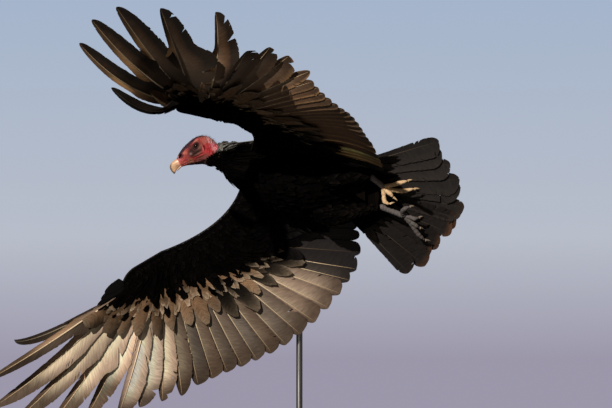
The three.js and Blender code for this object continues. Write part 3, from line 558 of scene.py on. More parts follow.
# ---------------- one wing's frame
class Wing:
    """A wing's bones, leading edge and fan of feathers, all worked out as on the left side.

    Span t runs 0 at the shoulder, 1 elbow, 2 wrist, 3 tip.  Places go to the model's frame last."""

    def __init__(self, side):
        self.side = side
        self.sign = 1 if side == "left" else -1
        self.seed = SIDES.index(side)
        pose = WING_POSE[side]
        self.pose = pose
        self.arm, self.hand = self.plane(*pose["arm"]), self.plane(*pose["hand"])
        shoulder = np.array([0, ARM["out"], ARM["up"]], float)
        elbow = shoulder + ARM["upper"] * self.heading(self.arm, pose["bones"][0])
        wrist = elbow + ARM["fore"] * self.heading(self.arm, pose["bones"][1])
        tip = wrist + ARM["hand"] * self.heading(self.hand, pose["bones"][2])
        self.joints = np.array([shoulder, elbow, wrist, tip])
        at = 2 + PRIMARIES[:, 0]
        angle, fan = pose["angles"], pose["fan"]

        def knots(places, values, end):
            return np.array([*zip(places, values), *zip(at, end[0]), (3, end[1])], float)

        places = (0, 1, 1.5, 2)
        self.angles = knots(places, angle, (fan, fan[-1] + 6))
        self.chords = knots(places, pose["chords"], (PRIMARIES[:, 1], 300))
        self.curls = knots((0, 1, 1.5, 1.9), pose["curls"], (pose["fan_curl"], pose["fan_curl"][-1]))
        self.lifts = knots((0, 2), (0, 0), (pose["fan_lift"], pose["fan_lift"][-1]))
        self.hands = ((0, 0), (1.6, 0), (2, 0.4), (2.29, 1), (3, 1))

    @staticmethod
    def plane(droop, dip):
        """Unit ways of a wing plane: out along it, fore to its front edge, over its back."""
        d, p = np.radians((droop, dip))
        out = np.array([0, np.cos(d), -np.sin(d)])
        level = np.array([0, np.sin(d), np.cos(d)])
        ahead = np.array([1.0, 0, 0])
        return out, np.cos(p) * ahead - np.sin(p) * level, np.cos(p) * level + np.sin(p) * ahead

    @staticmethod
    def heading(plane, angle):
        """The way at an angle from out towards fore."""
        a = np.radians(angle)[..., None] if np.ndim(angle) else np.radians(angle)
        return np.cos(a) * plane[0] + np.sin(a) * plane[1]

    def bone(self, t):
        """The place on the wing's bones at span t."""
        t = np.asarray(t, float)
        i = np.clip(t.astype(int), 0, 2)
        return mix(self.joints[i], self.joints[i + 1], (t - i)[..., None])

    def lead(self, t):
        """The front edge: a bow of skin from shoulder to wrist, then the front of the hand."""
        t = np.asarray(t, float)[..., None]
        pose = self.pose
        shoulder, _, wrist, _ = self.joints
        past = self.heading(self.hand, pose["bones"][2] + 90)
        first = shoulder + pose["lead_root"] * self.arm[1]
        middle = shoulder + pose["bow"][0] * self.arm[0] + pose["bow"][1] * self.arm[1]
        last = wrist + pose["lead_wrist"] * past
        s = np.clip(t / 2, 0, 1)
        bow = (1 - s) ** 2 * first + 2 * s * (1 - s) * middle + s * s * last
        end = np.sqrt(1 - 0.9 * np.clip((t - 2.6) / 0.4, 0, 1) ** 2)
        hand = self.bone(t[..., 0]) + end * mix(pose["lead_wrist"], pose["lead_tip"], t - 2) * past
        return np.where(t < 2, bow, hand)

    def feather(self, t):
        """Root, way along, upper side, length and curl of the feather at span t."""
        t = np.asarray(t, float)
        h = np.clip(through(self.hands, t), 0, 1)[..., None]
        angle = through(self.angles, t)
        lift = np.radians(through(self.lifts, t))[..., None]
        over = unit((1 - h) * self.arm[2] + h * self.hand[2])
        flat = (1 - h) * self.heading(self.arm, angle) + h * self.heading(self.hand, angle)
        flat = unit(flat - over * (flat * over).sum(-1, keepdims=True))
        along = np.cos(lift) * flat - np.sin(lift) * over
        back = np.cos(lift) * over + np.sin(lift) * flat
        return self.bone(t), along, back, through(self.chords, t), np.radians(through(self.curls, t))

    def shaft(self, t, u):
        """A point at share u of the feather at t.  It turns up by curl u^2, summed as a series."""
        root, along, over, chord, b = self.feather(t)
        u, b = np.broadcast_arrays(u, b)
        ahead = u - b ** 2 * u ** 5 / 10 + b ** 4 * u ** 9 / 216
        rise = b * u ** 3 / 3 - b ** 3 * u ** 7 / 42 + b ** 5 * u ** 11 / 1320
        turn = (b * u * u)[..., None]
        point = root + chord[..., None] * (ahead[..., None] * along + rise[..., None] * over)
        return point, np.cos(turn) * along + np.sin(turn) * over, np.cos(turn) * over - np.sin(turn) * along

    def world(self, points):
        """Places of the left-hand pattern as places of this wing in the model's frame."""
        return bird_to_world(points * (1, self.sign, 1))

    def world_way(self, ways):
        """The same for directions."""
        return (ways * (1, self.sign, 1)) @ BIRD_TURN.T

    def sheet(self, t, v):
        """Middle of the wing's flesh at span t and share v: 0 front edge, 0.45 bone, 1 flesh's rear,
        2 the feathers' tips.  Returns the place, the upper side and half the flesh's thickness."""
        t, v = np.broadcast_arrays(t, v)
        root, _, over, _, _ = self.feather(t)
        rear, _, _ = self.shaft(t, np.full(t.shape, COVERED))
        u = COVERED + np.clip(v - 1, 0, 1) * (1 - COVERED)
        beyond, _, beyond_over = self.shaft(t, u)
        front = mix(self.lead(t), root, np.clip(v / BONE_AT, 0, 1)[..., None])
        back = mix(root, rear, np.clip((v - BONE_AT) / (1 - BONE_AT), 0, 1)[..., None])
        v1 = v[..., None]
        point = np.where(v1 < BONE_AT, front, np.where(v1 <= 1, back, beyond))
        most = through(((0, FLESH["arm"]), (1, FLESH["arm"]), (2, FLESH["wrist"]), (3, FLESH["tip"])), t)
        round_front = np.sqrt(1 - (1 - np.clip(v / 0.3, 0, 1)) ** 2)
        fall = 1 - ease(0.3, 1, v)
        thick = 2 + (FLESH["rear"] - 2) * np.clip(v, 0, 1) + (most - 4) * round_front * fall
        return point, np.where(v1 <= 1, over, beyond_over), thick / 2

    def skin_half(self, v, half):
        """Half thickness of the bare skin: the flesh less the depth of its feathers."""
        return np.maximum(half - COAT["wing"] * ease(0, 0.12, v), 0.7)

    def surface(self, under):
        """The skin's upper or under side, run on over the flight feathers to their tips."""
        t = np.linspace(0.0, 3.0, 91)
        v = np.concatenate([np.linspace(0, 0.12, 7)[:-1], np.linspace(0.12, 2, 48)])
        point, over, half = self.sheet(t[None, :], v[:, None])
        skin = self.skin_half(v[:, None], half)
        skin = mix(skin, 2.6, ease(0.9, 1.1, v[:, None]) * np.ones_like(half))
        way = -over if under else over
        places = self.world(point + way * skin[..., None])
        return Surface(v, t, places, self.world_way(way))


def build_wing_skin(wing, rings=100, half_ring=26):
    """One wing's flesh as a closed loft: each ring runs over the back and returns underneath."""
    t = np.linspace(0, 3, rings)[:, None]
    v = 0.5 - 0.5 * np.cos(np.linspace(0, np.pi, half_ring))
    point, over, half = wing.sheet(t, v[None, :])
    skin = wing.skin_half(v[None, :], half)[..., None]
    ring = np.concatenate([point + over * skin, (point - over * skin)[:, ::-1]], 1)
    return wing.world(ring)


# ---------------- trunk, neck and head
# Where the head and the neck end along the spine.
HEAD_END, NECK_END = 1.0, 2.0


def ring_frames(s):
    """Centre, half width way, half height way and roundness of the body's ring at spine share s.

    s runs 0 at the bill's root to 1 at the nape, 2 at the front of the trunk and 3 at the tail."""
    slices = through(np.column_stack([np.arange(len(HEAD_SLICES)), HEAD_SLICES]),
                     np.clip(s, 0, 1) * (len(HEAD_SLICES) - 1))
    none = np.zeros(len(s))
    top = np.stack([slices[:, 0], none, slices[:, 1]], -1)
    low = np.stack([slices[:, 2], none, slices[:, 3]], -1)
    turn = BIRD_TURN.T @ HEAD_TURN
    head_centre = (top + low) / 2 @ turn.T + np.array(HEAD["at"], float)
    head_up = (top - low) / 2 @ turn.T
    head_across = np.stack([none, slices[:, 4], none], -1) @ turn.T

    start, start_up, start_across = head_centre[-1], head_up[-1], head_across[-1]
    leave = unit(np.cross(start_up, start_across))
    leave = -leave if leave[0] > 0 else leave
    chest = TRUNK[0]
    end = np.array([chest[0], 0, chest[3]])
    pull = np.linalg.norm(start - end) * 0.4
    k = np.clip(s - 1, 0, 1)[:, None]
    bend = (start, start + pull * leave, end + pull * np.array([1, 0, 0.12]), end)
    neck_centre = ((1 - k) ** 3 * bend[0] + 3 * k * (1 - k) ** 2 * bend[1]
                   + 3 * k * k * (1 - k) * bend[2] + k ** 3 * bend[3])
    swell = k ** 0.75
    neck_up = unit(mix(unit(start_up), np.array([0, 0, 1.0]), k))
    neck_across = unit(mix(unit(start_across), np.array([0, 1.0, 0]), k))
    neck_up = neck_up * mix(np.linalg.norm(start_up), chest[2], swell)
    neck_across = neck_across * mix(np.linalg.norm(start_across), chest[1], swell)

    x = mix(TRUNK[0, 0], TRUNK[-1, 0], np.clip(s - 2, 0, 1))
    width, depth, rise = through(np.column_stack([-TRUNK[:, 0], TRUNK[:, 1:]]), -x).T
    trunk_centre = np.stack([x, none, rise], -1)
    trunk_up = np.stack([none, none, depth], -1)
    trunk_across = np.stack([none, width, none], -1)

    on_head, on_neck = (s < HEAD_END)[:, None], (s < NECK_END)[:, None]
    centre = np.where(on_head, head_centre, np.where(on_neck, neck_centre, trunk_centre))
    across = np.where(on_head, head_across, np.where(on_neck, neck_across, trunk_across))
    up = np.where(on_head, head_up, np.where(on_neck, neck_up, trunk_up))
    power = np.where(s < HEAD_END, HEAD_POWER, TRUNK_POWER)
    return centre, across, up, power


def coat_depth(s):
    """Depth of the feathers over the skin along the spine: none on the bare head."""
    return np.interp(s, (0, 1, 1.25, 2, 2.2, 2.7, 3), (0, 0, COAT["neck"], 7, COAT["trunk"], 7, 4))


def body_grid(s, sides):
    """The bare skin in the bird's frame: rings through the spine, shrunk by the feathers' depth."""
    centre, across, up, power = ring_frames(s)
    c, n = ring_circle(sides, power[:, None])
    depth = coat_depth(s)[:, None]
    across = across * (1 - depth / np.linalg.norm(across, axis=1, keepdims=True))
    up = up * (1 - depth / np.linalg.norm(up, axis=1, keepdims=True))
    return centre[:, None] + c[..., None] * across[:, None] + n[..., None] * up[:, None], centre


def blurred_rows(grid, first, radius=5):
    """Rows after the first are averaged with their neighbours along the body, to soften its joins."""
    padded = np.concatenate([np.repeat(grid[:1], radius, 0), grid, np.repeat(grid[-1:], radius, 0)])
    weights = np.cos(np.linspace(-1.4, 1.4, 2 * radius + 1))
    weights = weights / weights.sum()
    soft = sum(w * padded[i:i + len(grid)] for i, w in enumerate(weights))
    share = ease(first, first + 2 * radius, np.arange(len(grid)))[:, None, None]
    share = share * (1 - ease(len(grid) - 2 * radius, len(grid) - 1, np.arange(len(grid))))[:, None, None]
    return mix(grid, soft, share)


def head_frame(points):
    """Points of the bird's frame in the head's own frame."""
    turn = BIRD_TURN.T @ HEAD_TURN
    return (points - np.array(HEAD["at"], float)) @ turn


def head_local(points):
    """Places of the model's frame in the head's own frame."""
    return (points - bird_to_world(np.array(HEAD["at"], float))) @ HEAD_TURN


def spot(x, z, at, size, tilt=0.0):
    """1 at a place on the side of the head, falling off as a Gaussian of its two half sizes, tilted."""
    a = np.radians(tilt)
    dx, dz = x - at[0], z - at[1]
    along, aside = dx * np.cos(a) + dz * np.sin(a), dz * np.cos(a) - dx * np.sin(a)
    return np.exp(-((along / size[0]) ** 2 + (aside / size[1]) ** 2))


def eye_distance(x, z):
    """1 on the rim of the eye's opening, an almond that dips to the front."""
    dx, dz = x - EYE["forward"], z - EYE["up"]
    dz = dz + 0.18 * dx
    return np.sqrt((dx / 5.6) ** 2 + (dz / 4.4) ** 2)


def side_line(x, column):
    """Height of the crown's line (column 0) or the jaw's (column 2) of the head's slices at x."""
    return through(HEAD_SLICES[::-1, column:column + 2], x)


def nostril_distance(x, z, margin):
    """1 on an oval that lies a margin outside the nostril's own."""
    return np.hypot((x - NOSTRIL["forward"]) / (NOSTRIL["length"] / 2 + margin),
                    (z - NOSTRIL["up"]) / (NOSTRIL["height"] / 2 + margin))


# Folds of bare skin on the cheek and nape: ends of a line on the side of the head, height, half width.
FOLDS = (
    ((20, 3), (-1, 3.5), 0.7, 1.3), ((27, -3), (3, -4.5), 0.9, 1.1), ((24, -6.5), (0, -10.5), 0.8, 1.1),
    ((32, -7), (12, -16), 0.7, 1.2), ((1, 9), (-3.5, -3), 1.0, 1.2), ((-10, 8), (-9, -3), 0.8, 1.2),
    ((16, 22), (-3, 21), 1.0, 2.0), ((56, 2), (40, 1), 0.5, 1.6), ((-14, 4), (-11, -12), 0.6, 1.5),
)


def near_line(x, z, a, b, half):
    """1 along the line from a to b on the side of the head, a Gaussian across it."""
    ax, az = a
    bx, bz = b
    dx, dz = bx - ax, bz - az
    k = np.clip(((x - ax) * dx + (z - az) * dz) / (dx * dx + dz * dz), 0, 1)
    away = np.hypot(x - ax - k * dx, z - az - k * dz)
    return np.exp(-(away / half) ** 2) * np.sqrt(np.clip(np.sin(np.pi * (0.08 + 0.84 * k)), 0, 1))


def head_relief(h):
    """How far the bare skin stands out of the plain head: socket, lids, brow, ear, folds and wrinkles."""
    x, y, z = np.moveaxis(h, -1, 0)
    side = ease(5, 9, np.abs(y))
    e = eye_distance(x, z)
    relief = -3.4 * side * (1 - ease(0.75, 1.05, e))
    relief += side * (1.0 * np.exp(-((e - 1.22) / 0.2) ** 2) - 0.6 * np.exp(-((e - 1.66) / 0.2) ** 2))
    relief += side * 0.45 * np.exp(-((e - 2.0) / 0.22) ** 2)
    for a, b, high, half in FOLDS:
        relief += side * high * near_line(x, z, a, b, half)
        below = 2.2 * half
        relief -= side * 0.5 * high * near_line(x, z, (a[0], a[1] - below), (b[0], b[1] - below), half)
    relief -= side * 1.1 * spot(x, z, (21, 9), (6.5, 4), -20)
    relief -= side * 3.6 * spot(x, z, (-6.3, 3.5), (5.4, 1.3), 100)
    relief += side * 0.9 * spot(x, z, (-3.7, 3.2), (5.5, 1.2), 100)
    gape = near_line(x, z, (62, BILL["gape_drop"]), (27, -9), 0.8)
    relief -= 0.8 * gape
    n = nostril_distance(x, z, 0.9)
    relief += 0.6 * ease(2, 4, np.abs(y)) * np.exp(-((n - 1.2) / 0.25) ** 2)
    warped = h + 1.6 * np.stack([noise(h, 9.0, k) for k in (3, 4, 5)], -1)
    nape = 1.25 * ease(-3, -16, x) + 0.5 * ease(-8, -20, z) * ease(30, 10, x)
    wave = np.abs(noise(warped * (1.0, 0.34, 0.6), 3.4, 6))
    relief += nape * (0.9 - 2.6 * wave) * 0.62
    crown = ease(18, 26, z) * (1 - ease(40, 46, x))
    relief += crown * 0.28 * noise(warped * (1, 0.5, 1), 2.3, 7)
    relief += 0.16 * noise(h, 1.7, 8) + 0.22 * noise(warped, 4.0, 9) * ease(46, 30, x)
    jaw = side_line(x, 2)
    relief += 2.7 * ease(7, 1, z - jaw) * ease(-14, 4, x) * ease(52, 36, x)
    return relief * ease(61, 57, x)


def head_tint(h, colour):
    """The bare skin's markings as functions of the place on the head, with shade painted into its folds,
    furrows, socket, ear, nostril and gape and under the jaw, and light painted at the nostril's front.
    """
    x, y, z = np.moveaxis(h, -1, 0)
    side = ease(4, 9, np.abs(y))
    mottle = noise(h, 3.2, 21)
    fine = noise(h, 1.4, 22)
    warped = h + 2.2 * np.stack([noise(h, 7.0, k) for k in (23, 24, 25)], -1)
    net = 1 - np.abs(noise(warped * (1.0, 0.6, 0.8), 3.1, 26)) * 2.4
    tint = np.broadcast_to(np.asarray(colour.red), h.shape).copy()

    paint = painter(tint)

    def dab(tone, share, at, size, tilt=0.0):
        paint(tone, side * share * spot(x, z, at, size, tilt))

    olive, cream, shadow = (0.016, 0.006, 0.005), (0.11, 0.050, 0.036), (0.006, 0.0025, 0.0025)
    paint((0.30, 0.068, 0.060), ease(24, 34, x) * 0.8)
    dab((0.15, 0.014, 0.022), 0.6, (29, 3), (3.5, 5.0))
    dab((0.38, 0.115, 0.078), 0.8, (37, 14.0), (6.5, 3.4), 20)
    paint((0.19, 0.022, 0.04), 0.8 * spot(x, z, (42, 3), (7, 4.5), -30))
    # Painted shade: darker maroon low on the cheek, under the jaw.
    paint((0.13, 0.045, 0.04), ease(-6, -14, z) * ease(-14, 2, x) * 0.9)
    paint((0.26, 0.075, 0.062), ease(-2, -8, x) * ease(4, 12, z) * 0.75)
    paint(colour.pink, ease(-14, -26, x) * (0.30 + 0.6 * net) * ease(-26, -16, z))
    # Painted shade: deeper red in the furrows between the nape's wrinkles.
    paint((0.17, 0.018, 0.03), ease(-6, -14, x) * ease(8, 2, z) * ease(0.2, -0.5, net) * 0.6)
    paint(colour.pink, ease(-24, -31, x) * ease(-4, 4, z) * 0.75)
    paint((0.55, 0.10, 0.15), ease(-20, -29, x) * ease(2, -5, z) * 0.7)
    paint(olive, side * 0.95 * np.clip(2.2 * spot(x, z, (15, 7.5), (16, 10.5), -12), 0, 1))
    dab((0.24, 0.085, 0.066), 0.6, (1, 9), (4.0, 6), 80)
    dab((0.42, 0.17, 0.14), 0.9, (4, 25.0), (6.5, 2.8))
    dab((0.030, 0.012, 0.016), 0.95, (23.5, 21.5), (7.0, 5.0), 25)
    dab((0.016, 0.010, 0.011), 0.95, (23.5, 9), (4.0, 2.8), 40)
    dab((0.20, 0.125, 0.135), 0.8, (27.5, 5.5), (2.4, 2.6))
    paint(cream, side * 0.6 * near_line(x, z, (23, -2), (2, -2.5), 1.3))
    dab(cream, 0.7, (11, -2.5), (4.5, 2.2))
    paint(cream, side * 0.5 * near_line(x, z, (24, -7), (8, -9.5), 1.1))
    for a, b, half in (((24, -4.6), (2, -5.6), 0.9), ((22, 2.6), (3, 1.6), 0.8), ((24, -9.6), (4, -12), 1.0)):
        paint(shadow, side * 0.75 * near_line(x, z, a, b, half))
    dab((0.12, 0.10, 0.045), 0.8, (34, -7.5), (4.5, 3.4), -10)
    # Near black along the throat's lower edge: the feathers' dark edge, and partly painted shade under the
    # jaw.
    throat = np.interp(x, (-10, 0, 10, 20, 30, 38), (-25, -23, -20, -17.5, -13.5, -11.5))
    paint((0.008, 0.003, 0.004), ease(1.8, -0.6, z - throat + mottle) * ease(-16, -8, x) * ease(44, 34, x))
    jaw = side_line(x, 2)
    paint(shadow, ease(5.5, 1.5, z - jaw + mottle) * ease(50, 40, x) * 0.85)
    above = side_line(x, 0) - z
    band = mix(2.8, 6.6, ease(-2, 14, x) * ease(56, 42, x))
    line = ease(band + 1.6, band - 0.8, above + 0.8 * mottle)
    paint(colour.crown, line * ease(64, 58, x) * ease(-26, -8, x))
    # Painted shade in the furrows of the wrinkles behind the crown.
    paint((0.10, 0.05, 0.05), ease(12, 2, above) * ease(10, -4, x) * ease(-30, -14, x) * (0.35 - 0.3 * net))
    e = eye_distance(x, z)
    # Painted shade in the eye's socket, darkest towards its rim.
    paint((0.030, 0.012, 0.011), side * np.clip(1.9 - 0.95 * e, 0, 1) * 0.9)
    ring = np.exp(-((e - 1.75) / 0.2) ** 2)
    paint((0.11, 0.040, 0.034), side * 0.7 * ring * ease(EYE["forward"] + 3, 3, x))
    # Painted shade under the brow over the eye, and inside the eye's opening.
    paint((0.008, 0.002, 0.003), side * 0.98 * np.clip(1.8 * spot(x, z, (8.6, 17.6), (5.8, 3.6), -8), 0, 1))
    paint((0.010, 0.005, 0.005), side * ease(1.15, 0.98, e))
    # Painted shade in the hollow of the ear.
    paint((0.070, 0.004, 0.008), side * spot(x, z, (-5.2, 3.0), (6.4, 2.0), 105))
    dab((0.46, 0.14, 0.13), 0.85, (-1.6, 0.6), (5.0, 1.1), 110)
    # Painted shade round the nostril and behind its upper edge, and a pale pink spot at its front end painted
    # as light seen through it.
    n = nostril_distance(x + 1.5, z, 1)
    paint((0.05, 0.010, 0.016), ease(1.7, 1.1, n) * 0.9)
    paint((0.016, 0.004, 0.006), 0.95 * spot(x, z, (47.3, 14.4), (2.7, 2.6), 0))
    paint((0.46, 0.24, 0.28), 0.9 * spot(x, z, (54.6, 12.6), (2.0, 3.0), 20))
    paint((0.44, 0.17, 0.20), 0.6 * spot(x, z, (55.5, 8.0), (3.0, 2.4), 0))
    # Painted shade in the crease along the gape.
    paint((0.10, 0.03, 0.035), 0.8 * near_line(x, z, (62, BILL["gape_drop"]), (28, -8.6), 0.9))
    paint((0.48, 0.17, 0.14), ease(56, 61, x) * ease(12, 5, z) * 0.7)
    bare = ease(-3, 1.5, z - feather_line(x) + 1.2 * mottle)
    paint((0.03, 0.018, 0.016), 1 - bare)
    return np.clip(tint * (1 + 0.20 * mottle[..., None] + 0.14 * fine[..., None]), 0.002, 0.95)


def feather_line(x):
    """Height on the side of the head below which the throat is feathered: a line rising to the nape."""
    return np.where(x < 13, np.interp(x, (-34, -24, 4, 13), (-12.5, -16.5, -19.5, -27)), -60)


class SkinGrid:
    """The bare body as one grid: the head finely ringed, then neck and trunk."""

    def __init__(self, head_rings=170, neck_rings=34, trunk_rings=70, sides=160):
        s = np.concatenate([
            np.linspace(0, 1, head_rings, endpoint=False),
            np.linspace(1, 2, neck_rings, endpoint=False),
            np.linspace(2, 3, trunk_rings),
        ])
        grid, centre = body_grid(s, sides)
        grid = blurred_rows(grid, head_rings)
        out = grid - centre[:, None]
        step_s = np.gradient(grid, s, axis=0)
        step_q = np.roll(grid, -1, 1) - np.roll(grid, 1, 1)
        normal = unit(np.cross(step_s, step_q))
        normal = normal * np.sign((normal * out).sum())
        self.head = head_frame(grid)
        on_head = ease(1.12, 1.0, s)[:, None]
        relief = head_relief(self.head) * on_head
        self.s, self.sides = s, sides
        self.places = grid + normal * relief[..., None]

    def surface(self):
        """The skin as a surface for feathers, with p along the spine and q round the body."""
        q = np.arange(self.sides) * 2 * np.pi / self.sides
        centre = self.places.mean(1, keepdims=True)
        world = bird_to_world(self.places)
        out = world - bird_to_world(centre)
        return Surface(self.s, q, world, out, around=True)


# ---------------- flight feathers
def remex_rachis(wing, t, inward, shift, roll, notch, count=40):
    """The shaft of the flight feather at span t, moved by shift towards the wing's front edge.

    It rolls so that its inner vane passes just under the shaft of its neighbour inward, up to notch."""
    u = np.linspace(0, 1, count)
    point, along, over = wing.shaft(np.full(count, t), u)
    front = unit(np.cross(along, over))
    beside = wing.shaft(np.full(count, inward), u)[0] - point
    reach = np.maximum(-(beside * front).sum(-1), 8.0)
    drop = 1.5 * ease(0.05, 0.3, u) - (beside * over).sum(-1)
    bound = np.degrees(np.arctan2(drop, reach)) if inward != t else np.full(count, roll)
    roll = mix(np.clip(bound, -25, 40), roll, ease(notch - 0.1, notch + 0.1, u))
    aside = front * (shift * ease(0.05, 0.4, u))[:, None]
    return Rachis(wing.world(point + aside), wing.world_way(over), wing.sign, roll)


def gap_to(wing, t, other, u):
    """How far the feather at span t lies from the one at another span, at shares u."""
    here, there = (wing.shaft(np.full(len(u), at), u)[0] for at in (t, other))
    return np.linalg.norm(here - there, axis=1)


# How bright the right wing's flight feathers are, by number: partly their own tone, partly painted light and
# shade, the secondaries darkened and the inner primaries brightened.
RIGHT_TONE_AND_PAINTED_LIGHT = ((6, 8, 10, 14, 17, 18, 19, 21, 24), (0.8, 0.72, 0.36, 0.25, 0.20, 0.30, 1.3, 1.8, 0.92))


def remex_look(colour, wing, number, tone, rng):
    """Colours of a flight feather on its (upper, under) side, by u along it and q across a vane, with
    sunlight and shade painted in on each wing.
    """
    digit = number - FIRST_PRIMARY + 1
    left, primary, finger = wing.side == "left", digit >= 1, digit >= FIRST_FINGER
    dark, brown, ivory, silver = shades(colour, "black", "worn", "ivory", "vane")
    warm = rng.normal(0, 0.05)
    under = silver * tone * (1 + warm, 1, 1 - warm) * (1.05, 0.99, 1.07)
    rim, light, base = 0.0, 1.0, 0.45
    if left:
        # The left wing's undersides are painted in shade, darker and browner than the right's, except the
        # three innermost tertials, painted gold as in grazing sunlight; rim paints a gold highlight on the
        # inner feathers' edges.
        under = under * ((3.7, 2.25, 1.15) if number < 3 else (0.28, 0.20, 0.14))
        rim = 0.0 if finger else rng.uniform(0.0, 0.9)
    else:
        # On the right wing, light is painted brightness by number, and the fingers' roots are painted
        # brighter against the shadow that the outermost primaries cast on them.
        light = np.interp(number, *RIGHT_TONE_AND_PAINTED_LIGHT)
        base = 1.1 if finger else 0.46
    tipped = 0.68 if finger else 0.88 if primary else 0.86
    # On the left the pale band beside the shaft is painted out as in shade, and the gold is painted twice as
    # bright, as the sunlit edges of a shaded wing.
    pale = mix(0.42, 1.0, ease(12, 20, number)) * (1 if digit < 9 else 0.1) * (0.12 if left else 1.0)
    gold = np.array((0.40, 0.235, 0.115)) * (2.1 if left else 1.0) * tone
    gloom = (0.0115, 0.0105, 0.0125) if digit < 9 else (0.014, 0.009, 0.006)
    shaded = {9: 0.85, 10: 1.0}.get(digit, 0.0)
    if not primary:
        shaded = ease(*((1.5, 0.0) if left else (7.4, 5.6)), number)

    def look(u, q, side):
        wave = 0.04 * np.sin(9 * u + 5 * tone)
        low = np.broadcast_to(under, u.shape + (3,)).copy()
        paint = painter(low)
        paint(brown * 1.6, ease(0.50, 1.0, q) * (0.40 if side > 0 else 0.7))
        if side > 0:
            strip = (1 - ease(0.08, (0.85 if primary else 0.50) + wave, q)) * (1 - ease(0.74, 0.96, u))
            paint(ivory * 0.95, pale * strip)
        elif finger:
            # Gold outer vanes: the feathers' own tan, and on the left also painted sunlight on the vanes.
            paint(gold, ease(0.25, 0.5, u) * (1 - ease(0.82, 1.0, u)) * (0.85 if left else 0.5))
        # Darker towards the primaries' roots, except on the right wing's fingers, painted brighter there;
        # light scales the right wing by number.
        root = mix(base, 1.0, ease(0.35, 0.55, u) if primary else 1 + 0 * u)
        low[:] = np.minimum(low * light * root[..., None], 0.86)
        end = ease(tipped - 0.12, tipped + 0.14, u + 0.05 * q + wave)
        paint(brown * 0.8 * tone, end * (0.9 if primary else 0.7))
        # Painted highlight: gold along the edges of the left wing's inner feathers.
        paint(gold * 0.42, rim * ease(0.88, 0.97, q) * ease(0.35, 0.6, u))
        if side > 0 or digit != 9:
            paint(gloom, 0.985 * shaded)
        # Painted light and shade on the inner left tertials: darker stripes between their sunlit lines.
        if left and number < 4:
            stripe = ease(-0.2, 0.5, np.sin(10 * q + 4 * u + 2 * number))
            low *= (1 - 0.75 * stripe)[..., None]
        if not left and digit == 10:
            paint(dark * 0.8, ease(0.32, 0.24, u))
        # The left fingers' inner vanes are painted dark as in shade beyond their middle, with a painted glow
        # of sunlight shining through beside the shaft.
        if left and finger and side > 0:
            far = ease(0.38, 0.52, u)
            paint((0.009, 0.0055, 0.004), 0.93 * far * ease(0.12, 0.60, q + 0.5 * ease(0.86, 1, u)))
            glow = 0.55 * far * ease(0.92, 0.75, u) * ease(0.02, 0.12, q) * ease(0.5, 0.25, q)
            paint((0.115, 0.052, 0.024), glow)
        top = mix(dark * 6, brown * 0.9, (ease(0.6, 1.0, q) * 0.8)[..., None]) + 0 * low
        return top * tone, low

    return look


def tip_profile(u, begin, power):
    """1 along the feather and then the quarter of a superellipse down to nothing at its tip."""
    s = np.clip((u - begin) / (1 - begin), 0, 1)
    return np.clip(1 - s ** power, 0, 1) ** (1 / power)


